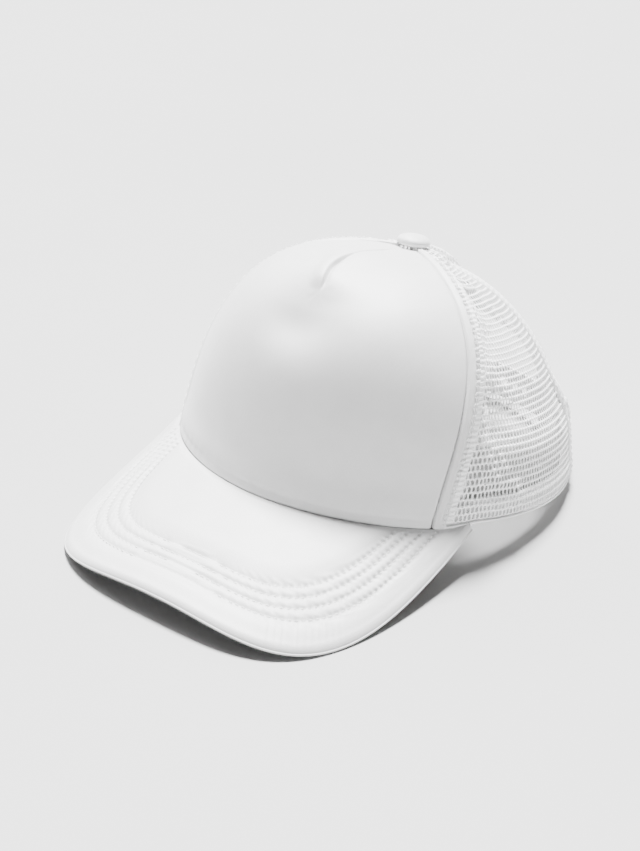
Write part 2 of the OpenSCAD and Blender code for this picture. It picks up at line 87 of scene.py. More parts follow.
# ---- The crown's and brim's curves ----


def lerp(a, b, w):
    return a + (b - a)*w


def ease(w):
    w = np.clip(w, 0, 1)
    return w*w*(3 - 2*w)


def bump(distance, width):
    """1 at no distance, falling smoothly to 0 over about twice the width."""
    return np.exp(-(distance/width)**2)


def settle(points):
    """Leans upright points back and puts them on the table, in metres."""
    c, s = math.cos(REST_TILT), math.sin(REST_TILT)
    x, y, z = np.moveaxis(np.asarray(points, float), -1, 0)
    return (np.stack([x, y*c + z*s, z*c - y*s], -1) + TABLE_SHIFT)/1000


def mirrored(points):
    return points*np.array([-1.0, 1.0, 1.0])


def opening(angle, grow=0.0):
    a = np.radians(angle)
    length = np.where(np.cos(a) > 0, FRONT_LENGTH, BACK_LENGTH)
    return np.stack([(HALF_WIDTH + grow)*np.sin(a), -(length + grow)*np.cos(a)], -1)


BRIM_END = opening(BRIM_END_ANGLE)


def brim_curve(x, y, shape):
    dip, pitch, drop, edge_share = shape
    reach = (x/BRIM_END[0])**2
    return (math.tan(math.radians(pitch))*(y + FRONT_LENGTH) - dip
            - drop*lerp(reach, reach*reach, edge_share))


def brim_height(x, y):
    """Top of the padded brim, which comes back up to the rim at its two ends."""
    from_end = np.hypot(np.abs(x) - BRIM_END[0], y - BRIM_END[1])
    return brim_curve(x, y, BRIM_SHAPE) + BRIM_END_LIFT*bump(from_end, 15)


def rim_height(angle):
    p = opening(angle)
    share = ease((np.abs(angle) - BRIM_END_ANGLE)/(180 - BRIM_END_ANGLE))
    side_height = brim_curve(BRIM_END[0], BRIM_END[1], RIM_SHAPE)
    return np.where(np.abs(angle) <= BRIM_END_ANGLE, brim_curve(p[..., 0], p[..., 1], RIM_SHAPE),
                    side_height + REAR_RISE*share)


def seam_dip(angle):
    """How far the brim's seam lies over the rim, below 0 where the padded brim sags."""
    p = opening(angle)
    return brim_height(p[..., 0], p[..., 1]) - rim_height(angle)


def profile(angle, i):
    c = np.cos(np.radians(angle))
    front, back = np.maximum(c, 0), np.maximum(-c, 0)
    return front*FRONT_PROFILE[i] + back*BACK_PROFILE[i] + (1 - front - back)*SIDE_PROFILE[i]


def skin(angle, t):
    """Outer skin of the crown."""
    angle, t = np.broadcast_arrays(np.asarray(angle, float), np.asarray(t, float))
    rim, low = opening(angle), rim_height(angle)
    r = (1 - t)**3 + 3*t*(1 - t)**2*profile(angle, 0) + 3*t*t*(1 - t)*profile(angle, 2)
    h = 3*t*(1 - t)**2*profile(angle, 1) + 3*t*t*(1 - t)*profile(angle, 3) + t**3
    return np.stack([rim[..., 0]*r, (rim[..., 1] - BUTTON_SETBACK)*r + BUTTON_SETBACK,
                     lerp(low, CROWN_HEIGHT, h)], -1)


def unit(v):
    return v/np.maximum(np.linalg.norm(v, axis=-1, keepdims=True), 1e-9)


def outward(angle, t):
    across = skin(angle + 0.4, t) - skin(angle - 0.4, t)
    up = skin(angle, t + 0.01) - skin(angle, t - 0.01)
    return unit(np.cross(across, up))


def crown(angle, t, depth=0.0):
    """A point at a depth under the crown's outer skin."""
    return skin(angle, t) - np.asarray(depth)[..., None]*outward(angle, t)


def per_degree(angle, t):
    return np.linalg.norm(skin(angle + 0.5, t) - skin(angle - 0.5, t), axis=-1)


def further(angle, t, distance):
    """The angle that lies a distance further round, narrowing near the button."""
    p = skin(angle, t)
    radius = np.hypot(p[..., 0], p[..., 1] - BUTTON_SETBACK)
    return angle + distance*np.minimum(1, radius/30)/per_degree(angle, t)


def t_at(angle, height):
    """The t of a height above the rim, by halving."""
    angle, height = np.broadcast_arrays(np.asarray(angle, float), np.asarray(height, float))
    low, high = np.full(angle.shape, -0.1), np.full(angle.shape, 0.7)
    for _ in range(18):
        mid = (low + high)/2
        under = skin(angle, mid)[..., 2] - rim_height(angle) < height
        low, high = np.where(under, mid, low), np.where(under, high, mid)
    return (low + high)/2


def front_seam(t):
    return FRONT_SEAM_ANGLE + FRONT_SEAM_BOW*np.sin(np.pi*np.clip(t, 0, 1)**1.22)


def trim_seam(t):
    return further(front_seam(t), t, TRIM_WIDTH)


def signed_power(v, p):
    return np.sign(v)*np.abs(v)**p


def brim_edge_at(turn, grow=0.0, front=0.0):
    """Edge of the brim moved out by grow at its sides and by grow plus front ahead."""
    a, p = np.radians(turn), 2/BRIM_SQUARENESS
    reach = BRIM_END[1] + FRONT_LENGTH + BRIM_LENGTH
    return np.stack([(BRIM_END[0] + grow)*signed_power(np.sin(a), p),
                     BRIM_END[1] - (reach + grow + front)*np.maximum(np.cos(a), 0)**p], -1)


def even(path, count):
    """The path resampled to points at even distances."""
    run = np.concatenate([[0], np.cumsum(np.linalg.norm(np.diff(path, axis=0), axis=1))])
    at = np.linspace(0, run[-1], count)
    return np.stack([np.interp(at, run, path[:, k]) for k in range(path.shape[1])], -1)


def length_of(path):
    return float(np.linalg.norm(np.diff(path, axis=0), axis=1).sum())


# ---- Straps' curves ----

STRAP_BORE = (HALF_WIDTH - HOLE_STRAP_DEPTH)**2/(BACK_LENGTH - HOLE_STRAP_DEPTH)
STRAP_CENTRE = BACK_LENGTH - HOLE_STRAP_DEPTH - STRAP_BORE
STRAP_SPAN = 2*FIRST_SNAP + (2*SNAP_COUNT - SNAPS_CLOSED - 1)*SNAP_PITCH
STRAP_LENGTH = FIRST_SNAP + (SNAP_COUNT - 1)*SNAP_PITCH + STRAP_END_MARGIN
HINGE_ANGLE = math.degrees(STRAP_SPAN/2/STRAP_BORE)
ARCH_ANGLE = HINGE_ANGLE + 3.3
FOOT_ANGLE = 180 - ARCH_ANGLE
ARCH_TOP = float(t_at(180.0, ARCH_HEIGHT))
PER_TURN = 2*math.pi*HALF_WIDTH/360


def strap_edge(height):
    p = crown(np.array(FOOT_ANGLE), t_at(FOOT_ANGLE, height), HOLE_STRAP_DEPTH)
    return math.hypot(p[0], p[1] - STRAP_CENTRE), p[2]


STRAP_RADIUS, STRAP_FOOT = strap_edge(STRAP_LIFT)
_head_radius, _head = strap_edge(STRAP_LIFT + STRAP_WIDTH)
STRAP_LEAN = math.atan2(STRAP_RADIUS - _head_radius, _head - STRAP_FOOT)


def strap_point(run, up, out):
    """A point of the left strap: run from its hinge, up its face from the foot, and out of it."""
    turn = np.radians(HINGE_ANGLE) - np.asarray(run)/STRAP_BORE
    radius = STRAP_RADIUS - up*math.sin(STRAP_LEAN) + out*math.cos(STRAP_LEAN)
    return np.stack([radius*np.sin(turn), STRAP_CENTRE + radius*np.cos(turn),
                     STRAP_FOOT + up*math.cos(STRAP_LEAN) + out*math.sin(STRAP_LEAN)], -1)


def arch_half(t, grow=0.0):
    w = np.clip(t/(ARCH_TOP + grow/CROWN_RUN), 0, 1)
    return (ARCH_ANGLE + grow/PER_TURN)*np.sqrt(1 - w**ARCH_SIDES)


# ---- Mesh building ----


def flat_map(grid):
    """Distances along and across a grid of points, in millimetres, for weaves to follow."""
    u = np.zeros(grid.shape[:2])
    v = np.zeros(grid.shape[:2])
    u[:, 1:] = np.cumsum(np.linalg.norm(np.diff(grid, axis=1), axis=-1), axis=1)
    v[1:] = np.cumsum(np.linalg.norm(np.diff(grid, axis=0), axis=-1), axis=0)
    u -= u[:, u.shape[1]//2][:, None]
    return np.stack([u, v], -1)


def piece(name, points, faces, material, body="cap", slot=None, stands_for=(), flat=None):
    """A smooth piece from settled points and arrays of faces. flat is each point's place in the weave."""
    mesh = bpy.data.meshes.new(name)
    faces = [np.asarray(f) for f in (faces if isinstance(faces, list) else [faces])]
    mesh.from_pydata(np.asarray(points).reshape(-1, 3).tolist(), [],
                     [row for f in faces for row in f.tolist()])
    mesh.validate()
    shell = bmesh.new()
    shell.from_mesh(mesh)
    bmesh.ops.recalc_face_normals(shell, faces=shell.faces)
    shell.to_mesh(mesh)
    shell.free()
    if flat is not None:
        layer = mesh.uv_layers.new(name="weave")
        corner = np.empty(len(mesh.loops), int)
        mesh.loops.foreach_get("vertex_index", corner)
        layer.data.foreach_set("uv", flat.reshape(-1, 2)[corner].ravel())
    mesh.materials.append(material)
    obj = bpy.data.objects.new(name, mesh)
    bpy.context.scene.collection.objects.link(obj)
    mesh.polygons.foreach_set("use_smooth", np.ones(len(mesh.polygons), bool))
    if body:
        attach(obj, body)
    if stands_for:
        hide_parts(*stands_for)
    return obj


def slab_faces(rows, cols):
    """Quads of a closed slab between two grids, near first."""
    near = np.arange(rows*cols).reshape(rows, cols)
    far = near + rows*cols
    return np.concatenate([
        np.stack([near[:-1, :-1], near[:-1, 1:], near[1:, 1:], near[1:, :-1]], -1).reshape(-1, 4),
        np.stack([far[1:, :-1], far[1:, 1:], far[:-1, 1:], far[:-1, :-1]], -1).reshape(-1, 4),
        np.stack([far[0, :-1], far[0, 1:], near[0, 1:], near[0, :-1]], -1),
        np.stack([near[-1, :-1], near[-1, 1:], far[-1, 1:], far[-1, :-1]], -1),
        np.stack([near[:-1, 0], near[1:, 0], far[1:, 0], far[:-1, 0]], -1),
        np.stack([far[:-1, -1], far[1:, -1], near[1:, -1], near[:-1, -1]], -1)])


def slab(name, near, far, material, **more):
    """A closed sheet between two matching grids of upright points."""
    rows, cols = near.shape[:2]
    points = settle(np.concatenate([near.reshape(-1, 3), far.reshape(-1, 3)]))
    flat = flat_map(near).reshape(-1, 2)
    return piece(name, points, slab_faces(rows, cols), material, flat=np.concatenate([flat, flat]), **more)


def tube_faces(rings, sides):
    index = np.arange(rings*sides).reshape(rings, sides)
    shifted = np.roll(index, -1, 1)
    walls = np.stack([index[:-1], shifted[:-1], shifted[1:], index[1:]], -1).reshape(-1, 4)
    return walls, index[0][::-1], index[-1]


def swept(name, sections, material, **more):
    """A closed solid through sections, an array of stations by points."""
    walls, first, last = tube_faces(*sections.shape[:2])
    return piece(name, settle(sections), [walls, first[None], last[None]], material,
                 flat=flat_map(sections).reshape(-1, 2), **more)


def stitches(name, paths, normals, material, length=3.2, share=0.78, radius=0.2, lift=0.1, slant=0.0,
             **more):
    """Rows of separate stitches: short threads that rise from one needle hole and dive at the next."""
    sides, rings = 6, 7
    turns = np.linspace(0, 2*np.pi, sides, endpoint=False)
    along = np.linspace(-0.5, 0.5, rings)
    walls, first, last = tube_faces(rings, sides)
    points, faces, caps, base = [], [], [], 0
    for path, normal in zip(paths, normals):
        count = max(2, int(round(length_of(path)/length)))
        dense = even(np.concatenate([path, normal], 1), count*12 + 1)
        for i in range(count):
            at = i*12 + 6 + along*share*12
            spot = np.stack([np.interp(at, np.arange(len(dense)), dense[:, k]) for k in range(6)], -1)
            p, n = spot[:, :3], unit(spot[:, 3:])
            side = unit(np.cross(unit(np.gradient(p, axis=0)), n))
            p = p + (slant*(1 if i % 2 else -1)*along*2)[:, None]*side
            arc = np.cos(along*np.pi)**0.7
            height = lift + radius*1.2*arc - radius*1.8*(1 - arc)
            girth = radius*(0.55 + 0.45*arc)
            ring = (p[:, None] + height[:, None, None]*n[:, None]
                    + girth[:, None, None]*(np.cos(turns)[None, :, None]*side[:, None]
                                            + 0.8*np.sin(turns)[None, :, None]*n[:, None]))
            points.append(ring.reshape(-1, 3))
            faces.append(walls + base)
            caps += [first + base, last + base]
            base += rings*sides
    return piece(name, settle(np.concatenate(points)), [np.concatenate(faces), np.array(caps)],
                 material, **more)


def smooth_up(field, rows, cols):
    """A grid of values made finer along smooth curves."""
    for axis, count in ((0, rows), (1, cols)):
        size = field.shape[axis]
        at = np.linspace(0, size - 1, count)
        i = np.minimum(at.astype(int), size - 2)
        w = (at - i).reshape([-1 if k == axis else 1 for k in range(field.ndim)])
        a, b, c, d = (np.take(field, np.clip(i + k, 0, size - 1), axis=axis) for k in (-1, 0, 1, 2))
        field = 0.5*(2*b + (c - a)*w + (2*a - 5*b + 4*c - d)*w*w + (3*b - a - 3*c + d)*w**3)
    return field


def sample(field, u, v):
    """Values of a grid at shares u of its columns and v of its rows."""
    rows, cols = field.shape
    x = np.clip(u, 0, 1)*(cols - 1)
    y = np.clip(v, 0, 1)*(rows - 1)
    i, j = np.minimum(x.astype(int), cols - 2), np.minimum(y.astype(int), rows - 2)
    wx, wy = ease(x - i), ease(y - j)
    return lerp(lerp(field[j, i], field[j, i + 1], wx), lerp(field[j + 1, i], field[j + 1, i + 1], wx), wy)


# ---- Cloth simulation ----

SIM_SCALE = 10


def relaxed(start, held, frames, stiffness, bending, slack, weight=1.0):
    """How far each point of a grid of upright points moves, in millimetres, when it hangs as cloth.

    start is where the grid begins, and held is how firmly each point is held there.
    """
    rows, cols = start.shape[:2]
    index = np.arange(rows*cols).reshape(rows, cols)
    quads = np.stack([index[:-1, :-1], index[:-1, 1:], index[1:, 1:], index[1:, :-1]], -1).reshape(-1, 4)
    mesh = bpy.data.meshes.new("sim")
    begin = settle(start).reshape(-1, 3)*SIM_SCALE
    mesh.from_pydata(begin.tolist(), [], quads.tolist())
    obj = bpy.data.objects.new("sim", mesh)
    bpy.context.scene.collection.objects.link(obj)
    group = obj.vertex_groups.new(name="held")
    for i, w in enumerate(held.reshape(-1)):
        if w > 0.001:
            group.add([i], float(w), "REPLACE")
    cloth = obj.modifiers.new("cloth", "CLOTH")
    cloth.point_cache.frame_end = frames
    cloth.settings.quality = 7
    cloth.settings.mass = 0.12
    cloth.settings.tension_stiffness = stiffness
    cloth.settings.compression_stiffness = stiffness
    cloth.settings.shear_stiffness = stiffness*0.4
    cloth.settings.bending_stiffness = bending
    cloth.settings.tension_damping = 12
    cloth.settings.compression_damping = 12
    cloth.settings.bending_damping = 1.5
    cloth.settings.air_damping = 3
    cloth.settings.shrink_min = -slack
    cloth.settings.vertex_group_mass = "held"
    cloth.settings.pin_stiffness = 4
    cloth.settings.effector_weights.gravity = weight
    cloth.collision_settings.use_collision = False
    cloth.collision_settings.use_self_collision = False
    for f in range(1, frames + 1):
        bpy.context.scene.frame_set(f)
    settled = obj.evaluated_get(bpy.context.evaluated_depsgraph_get()).data
    after = np.empty(rows*cols*3, np.float32)
    settled.vertices.foreach_get("co", after)
    moved = (after.reshape(-1, 3) - begin)/SIM_SCALE*1000
    bpy.context.scene.frame_set(1)
    bpy.data.objects.remove(obj)
    bpy.data.meshes.remove(mesh)
    c, s = math.cos(REST_TILT), math.sin(REST_TILT)
    x, y, z = moved.T
    return np.stack([x, y*c - z*s, z*c + y*s], -1).reshape(rows, cols, 3)


# ---- Draped mesh sides ----

DRAPE_ROWS, DRAPE_COLS = 44, 56


def back_edge(t):
    return 180 - arch_half(t, 1.5)


def seed_folds(angle, t, folds):
    """Soft ridges and dents, each a height with its place, direction and size on the crown."""
    total = np.zeros(np.broadcast(angle, t).shape)
    x, y = angle*1.6, t*CROWN_RUN
    for height, at_angle, at_t, lean, long, wide in folds:
        dx, dy = x - at_angle*1.6, y - at_t*CROWN_RUN
        c, s = math.cos(math.radians(lean)), math.sin(math.radians(lean))
        total += height*bump(dx*c + dy*s, long)*bump(dy*c - dx*s, wide)
    return total


LEFT_FOLDS = ((-4.2, 108, 0.52, -80, 24, 17), (1.6, 117, 0.26, -40, 18, 8), (-5.0, 113, 0.11, -8, 30, 11),
              (-2.0, 104, 0.34, -42, 18, 6), (1.8, 99, 0.40, -46, 20, 6), (-1.8, 94, 0.47, -40, 18, 6),
              (1.6, 90, 0.56, -30, 22, 8), (-1.6, 84, 0.65, -28, 20, 8), (1.4, 80, 0.36, -14, 24, 7),
              (-1.6, 78, 0.27, -8, 26, 6), (2.0, 146, 0.55, -60, 22, 9), (-1.8, 138, 0.66, -60, 18, 8))
RIGHT_FOLDS = ((2.4, 110, 0.42, -40, 22, 8), (-2.4, 122, 0.52, -55, 20, 7), (2.2, 132, 0.62, -50, 18, 8),
               (-1.6, 92, 0.60, -30, 22, 7), (1.6, 84, 0.48, -30, 22, 7), (-1.4, 148, 0.50, -70, 18, 7))


def draped(folds):
    """Outward displacement over one side of the mesh, rows of t by columns from its trim to the back."""
    t = np.linspace(0, PANEL_TOP, DRAPE_ROWS)[:, None]
    w = np.linspace(0, 1, DRAPE_COLS)[None]
    angle = lerp(trim_seam(t), back_edge(t), w)
    out = outward(angle, t)
    edge = np.minimum(np.minimum(w, 1 - w)*12, np.minimum(t*9, (PANEL_TOP - t)*9))
    free = ease(edge)
    begin = free*seed_folds(angle, t, folds)
    start = crown(angle, t) + begin[..., None]*out
    held = np.where(free < 0.02, 1.0, 0.0) + 0.25*bump((angle - SIDE_SEAM_ANGLE)*1.6, 3)*(free >= 0.02)
    moved = relaxed(start, np.clip(held, 0, 1), 26, 9, 0.25, 0.022, 0.7)
    begin = begin + np.sum(moved*out, -1)
    low = lerp(-1.0, -4.5, ease((t - 0.2)/0.14))
    return free*np.clip(begin, low, 6.5)


DRAPES = {1: draped(LEFT_FOLDS), -1: draped(RIGHT_FOLDS)}


def drape(angle, t):
    total = 0
    for side, field in DRAPES.items():
        a = angle*side
        w = (a - trim_seam(t))/(back_edge(t) - trim_seam(t))
        total = total + np.where((w > 0) & (w < 1), sample(field, w, t/PANEL_TOP), 0)
    return total


def cap_point(angle, t, depth=0.0):
    """A point of the mesh sides' layers, folds and all."""
    angle, t = np.broadcast_arrays(np.asarray(angle, float), np.asarray(t, float))
    return skin(angle, t) + (drape(angle, t) - depth)[..., None]*outward(angle, t)


# ---- Materials ----


class Nodes:
    """A material under construction, with short ways to add its nodes."""

    def __init__(self, name, flat):
        self.material = bpy.data.materials.new(name)
        self.material.use_nodes = True
        self.tree = self.material.node_tree
        self.shader = self.tree.nodes["Principled BSDF"]
        if flat:
            self.place = self.add("ShaderNodeUVMap", uv_map="weave").outputs["UV"]
        else:
            scale = self.add("ShaderNodeVectorMath", operation="SCALE")
            scale.inputs["Scale"].default_value = 1000
            self.link(self.add("ShaderNodeTexCoord").outputs["Object"], scale.inputs[0])
            self.place = scale.outputs["Vector"]

    def add(self, kind, **values):
        node = self.tree.nodes.new(kind)
        for key, value in values.items():
            setattr(node, key, value)
        return node

    def link(self, a, b):
        self.tree.links.new(a, b)

    def set(self, **values):
        for key, value in values.items():
            self.shader.inputs[key.replace("_", " ")].default_value = value

    def noise(self, size, detail=3.0, rough=0.55, place=None):
        node = self.add("ShaderNodeTexNoise")
        node.inputs["Scale"].default_value = 1/size
        node.inputs["Detail"].default_value = detail
        node.inputs["Roughness"].default_value = rough
        self.link(place or self.place, node.inputs["Vector"])
        return node.outputs["Fac"]

    def wave(self, pitch, direction="X", wobble=0.0):
        node = self.add("ShaderNodeTexWave", bands_direction=direction)
        node.inputs["Scale"].default_value = 0.314/pitch
        node.inputs["Distortion"].default_value = wobble
        node.inputs["Detail"].default_value = 1.0
        self.link(self.place, node.inputs["Vector"])
        return node.outputs["Fac"]

    def math(self, operation, a, b=None):
        node = self.add("ShaderNodeMath", operation=operation)
        for socket, value in zip(node.inputs, (a, b)):
            if isinstance(value, (int, float)):
                socket.default_value = value
            elif value is not None:
                self.link(value, socket)
        return node.outputs[0]

    def spread(self, value, low, high, start=0.3, end=0.7):
        node = self.add("ShaderNodeMapRange")
        for key, number in zip((1, 2, 3, 4), (start, end, low, high)):
            node.inputs[key].default_value = number
        self.link(value, node.inputs[0])
        return node.outputs[0]

    def colours(self, value, dark, light, start=0.3, end=0.7):
        node = self.add("ShaderNodeValToRGB")
        for stop, at, colour in zip(node.color_ramp.elements, (start, end), (dark, light)):
            stop.position = at
            stop.color = (*colour, 1)
        self.link(value, node.inputs[0])
        self.link(node.outputs["Color"], self.shader.inputs["Base Color"])

    def bumps(self, *layers):
        """Layers of height, each with its depth in millimetres."""
        normal = None
        for height, depth in layers:
            node = self.add("ShaderNodeBump")
            node.inputs["Distance"].default_value = depth/1000
            self.link(height, node.inputs["Height"])
            if normal:
                self.link(normal, node.inputs["Normal"])
            normal = node.outputs["Normal"]
        self.link(normal, self.shader.inputs["Normal"])


def grey(level, warm=0.0):
    return (level*(1 + warm), level, level*(1 - warm))


def knit_cloth(name, level, pitch=0.62, depth=0.05, flat=True):
    """Smooth knitted face cloth over foam: fine ribs, a slight sheen and soft mottling."""
    m = Nodes(name, flat)
    ribs = m.math("MULTIPLY", m.wave(pitch, "X", 0.6), m.wave(pitch*0.8, "Y", 0.8))
    fine = m.noise(0.45, 4)
    broad = m.noise(14, 4)
    mixed = m.math("ADD", m.math("MULTIPLY", broad, 0.55), m.math("MULTIPLY", fine, 0.45))
    m.colours(mixed, grey(level*0.93), grey(level*1.03))
    m.link(m.spread(fine, 0.40, 0.54), m.shader.inputs["Roughness"])
    m.set(Sheen_Weight=0.2, Sheen_Roughness=0.4, Specular_IOR_Level=0.75)
    m.bumps((ribs, depth), (fine, depth*1.3), (broad, 0.12))
    return m.material


def woven(name, level, pitch=0.8, depth=0.09, roughness=0.85, flat=True, twill=False):
    """Woven tape or cloth with visible yarns."""
    m = Nodes(name, flat)
    across, along = m.wave(pitch, "X", 0.5), m.wave(pitch*(2.2 if twill else 1), "Y", 0.5)
    yarns = m.wave(pitch*1.4, "DIAGONAL", 0.4) if twill else m.math("MAXIMUM", across, along)
    if twill:
        yarns = m.math("ADD", m.math("MULTIPLY", yarns, 0.7), m.math("MULTIPLY", across, 0.3))
    fuzz = m.noise(0.6, 5, 0.65)
    mixed = m.math("ADD", m.math("MULTIPLY", yarns, 0.35), m.math("MULTIPLY", fuzz, 0.65))
    m.colours(mixed, grey(level - 0.1), grey(level + 0.02), 0.2, 0.75)
    m.link(m.spread(fuzz, roughness - 0.08, roughness + 0.06), m.shader.inputs["Roughness"])
    m.set(Sheen_Weight=0.25, Sheen_Roughness=0.5, Specular_IOR_Level=0.25)
    m.bumps((yarns, depth), (fuzz, depth*0.8))
    return m.material


def filament(name, level, roughness=0.42):
    """Smooth synthetic yarn of the open mesh and of the sewing thread."""
    m = Nodes(name, False)
    plies = m.wave(0.5, "DIAGONAL", 2.0)
    grain = m.noise(0.8, 4)
    m.colours(m.noise(9, 3), grey(level - 0.04), grey(level + 0.015))
    m.link(m.spread(grain, roughness - 0.1, roughness + 0.1), m.shader.inputs["Roughness"])
    m.set(Sheen_Weight=0.15, Specular_IOR_Level=0.45, Subsurface_Weight=0.12,
          Subsurface_Radius=(0.0012, 0.0012, 0.0012))
    m.bumps((plies, 0.03), (grain, 0.04))
    return m.material


def foam_stuff(name, level, warm=0.01):
    """Open foam with small cells."""
    m = Nodes(name, False)
    cells = m.add("ShaderNodeTexVoronoi")
    cells.inputs["Scale"].default_value = 1.6
    m.link(m.place, cells.inputs["Vector"])
    grain = m.noise(0.7, 4)
    m.colours(cells.outputs["Distance"], grey(level - 0.12, warm), grey(level, warm), 0.05, 0.5)
    m.link(m.spread(grain, 0.86, 0.96), m.shader.inputs["Roughness"])
    m.set(Specular_IOR_Level=0.2)
    m.bumps((cells.outputs["Distance"], 0.2), (grain, 0.08))
    return m.material


def moulded(name, level, roughness=0.36, warm=0.0, metal=0.0):
    """Moulded plastic, or metal, with fine grain and faint rubbed patches."""
    m = Nodes(name, False)
    grain, patches = m.noise(0.35, 2), m.noise(6, 4)
    m.colours(patches, grey(level - 0.04, warm), grey(level + 0.02, warm))
    m.link(m.spread(patches, roughness - 0.08, roughness + 0.12), m.shader.inputs["Roughness"])
    m.set(Metallic=metal, Specular_IOR_Level=0.5, Subsurface_Weight=0.0 if metal else 0.15,
          Subsurface_Radius=(0.002, 0.002, 0.002))
    m.bumps((grain, 0.025), (patches, 0.05))
    return m.material


# Painted shade: the cap's cloth is white throughout, but the front and brim are given darker greys than the
# mesh and bindings, standing in for the shade on them.
FRONT_CLOTH = knit_cloth("front_cloth", 0.72)
BRIM_CLOTH = knit_cloth("brim_cloth", 0.66, 0.7)
# Painted shade: the brim's underside is near black to deepen the shade under the brim; the real underside's
# colour is not known.
UNDER_CLOTH_PAINTED_SHADE = knit_cloth("under_brim_painted_shade", 0.03, 0.7)
TRIM_CLOTH = knit_cloth("trim_cloth", 0.74, 0.8, 0.06)
MESH_YARN = filament("mesh_yarn", 0.96)
THREAD = filament("thread", 0.92, 0.5)
# Painted shade: the inner tapes are a darker grey than the white bindings, standing in for the shade inside
# the crown seen through the mesh.
TAPE = woven("tape", 0.78, 0.7, 0.08, twill=True)
BINDING_CLOTH = woven("binding_cloth", 0.93, 0.55, 0.06)
SWEATBAND_CLOTH = woven("sweatband_cloth", 0.93, 0.75, 0.1, 0.92)
# Painted shade: the foam is grey, standing in for the shade inside the crown that shows through the mesh
# holes.
FOAM = foam_stuff("foam", 0.55)
BOARD = moulded("brim_board", 0.8, 0.5, 0.02)
SHELL = moulded("button_shell", 0.72, 0.45)
RIVET = moulded("rivet", 0.62, 0.32, 0.0, 1.0)
STRAP = moulded("strap_plastic", 0.86, 0.34)

# ---- Front panel ----

FRONT_ROWS, FRONT_COLS = 150, 220
SIM_ROWS, SIM_COLS = 46, 58
DART_END, EDGE_ROLL, LOW_ROLL = 0.668, 2.2, 1.0


def front_edge(t):
    return further(front_seam(t), t, -LAYER_GAP)


def front_low(angle):
    """The t of the front's lower edge, in the seam of the brim."""
    return t_at(angle, seam_dip(angle) - 0.8)


def dart_x(t):
    """Sideways place of the dart's crease, in millimetres."""
    return -3.4*ease((t - DART_END)/0.10)*(1 - ease((t - 0.80)/0.13))


def dart_depth(t):
    return ease((t - DART_END + 0.006)/0.04)*lerp(1.0, 0.22, ease((t - 0.77)/0.07))*(1 - ease((t - 0.9)/0.06))


def front_grid(rows, cols):
    """Angles and levels over the front, closer together at its middle and its edges."""
    w = np.linspace(-1, 1, cols)[None]
    w = w - 0.07*np.sin(2*np.pi*w)
    t = lerp(front_low(w*FRONT_SEAM_ANGLE), PANEL_TOP, np.linspace(0, 1, rows)[:, None])
    return w*front_edge(t), t


def front_relief(angle, t):
    """The foam front's soft shapes: the dart's ridge, the hollow below it and the puffed sides."""
    across = skin(angle, t)[..., 0] - dart_x(t)
    run = (t - DART_END)*CROWN_RUN
    ridge = 3.5*bump(across, 15)*ease((run + 7)/16)*(1 - ease((t - 0.82)/0.14))
    hollow = -4.4*bump(across + 4, 17)*bump(run + 19, 13)
    puffs = 1.3*(bump(across - 36, 22) + bump(across + 34, 20))*bump(run + 2, 34)
    return ridge + hollow + puffs


def softened(field, passes):
    """A grid of values averaged with its neighbours, so that only its broad shape stays."""
    for _ in range(passes):
        wide = np.pad(field, 1, mode="edge")
        field = (wide[:-2, 1:-1] + wide[2:, 1:-1] + wide[1:-1, :-2] + wide[1:-1, 2:] + 2*field)/6
    return field


def relaxed_front():
    """Outward displacement of the front, as cloth held round its edges and down the dart."""
    angle, t = front_grid(SIM_ROWS, SIM_COLS)
    out = outward(angle, t)
    relief = front_relief(angle, t)
    across = skin(angle, t)[..., 0] - dart_x(t)
    held = 0.2*np.ones_like(across)
    held[:, 0] = held[:, -1] = held[0] = held[-1] = 1
    held = np.maximum(held, 0.9*bump(across, 4)*dart_depth(t))
    moved = relaxed(crown(angle, t) + relief[..., None]*out, held, 16, 6, 4.0, -0.012, 0.0)
    return relief + softened(np.clip(np.sum(moved*out, -1), -1.0, 1.0), 40)


FRONT_DRAPE = smooth_up(relaxed_front(), FRONT_ROWS, FRONT_COLS)


def front_shape():
    """Angles, levels and outward displacement of the front's fabric."""
    angle, t = front_grid(FRONT_ROWS, FRONT_COLS)
    p = skin(angle, t)
    across, run = p[..., 0] - dart_x(t), (t - DART_END)*CROWN_RUN
    edge_run = (front_edge(t) - np.abs(angle))*per_degree(front_edge(t), t)
    low_run = (t - front_low(angle))*CROWN_RUN
    crease = -1.8*np.exp(-np.abs(across - 0.3)/0.7)*dart_depth(t)
    lips = 1.5*dart_depth(t)*(1 - ease((across + 0.7)/1.3))*ease((across + 10)/7)
    spread = np.arctan2(across, run + 1.0)
    star = 0.05*np.cos(7*spread + 1)*bump(np.hypot(across, run + 1) - 3.5, 3.0)
    hem_line = -0.22*bump(low_run - 4.6, 0.8) + 0.5*bump(low_run - 9, 6)
    pulls = 0.10*np.sin(p[..., 0]*0.9 + 2*np.sin(p[..., 0]*0.13))*bump(low_run - 4.5, 3.2)
    shape = FRONT_DRAPE + crease + lips + star + hem_line + pulls
    for distance, roll in ((edge_run, EDGE_ROLL), (low_run, LOW_ROLL)):
        near = np.clip(1 - distance/roll, 0, 1)
        shape = shape - roll*(1 - np.sqrt(1 - np.minimum(near, 0.995)**2))
    return angle, t, shape - 0.8*bump((PANEL_TOP - t)*CROWN_RUN, 1.6)


FRONT_ANGLE, FRONT_T, FRONT_SHAPE = front_shape()


def front_layer(depth, share=1.0):
    return (skin(FRONT_ANGLE, FRONT_T)
            + (share*FRONT_SHAPE - depth)[..., None]*outward(FRONT_ANGLE, FRONT_T))


def make_front():
    fabric = slab("front_fabric_sewn", front_layer(0), front_layer(CLOTH_THICKNESS), FRONT_CLOTH,
                  slot="front_cloth", stands_for=["front_fabric"])
    near, far = front_layer(FOAM_DEPTH), front_layer(FOAM_DEPTH + FOAM_THICKNESS, 0.35)
    foam = slab("front_foam_pad", near[::2, ::2], far[::2, ::2], FOAM, slot="foam",
                stands_for=["front_foam"])


# ---- Trims, seams and tapes ----


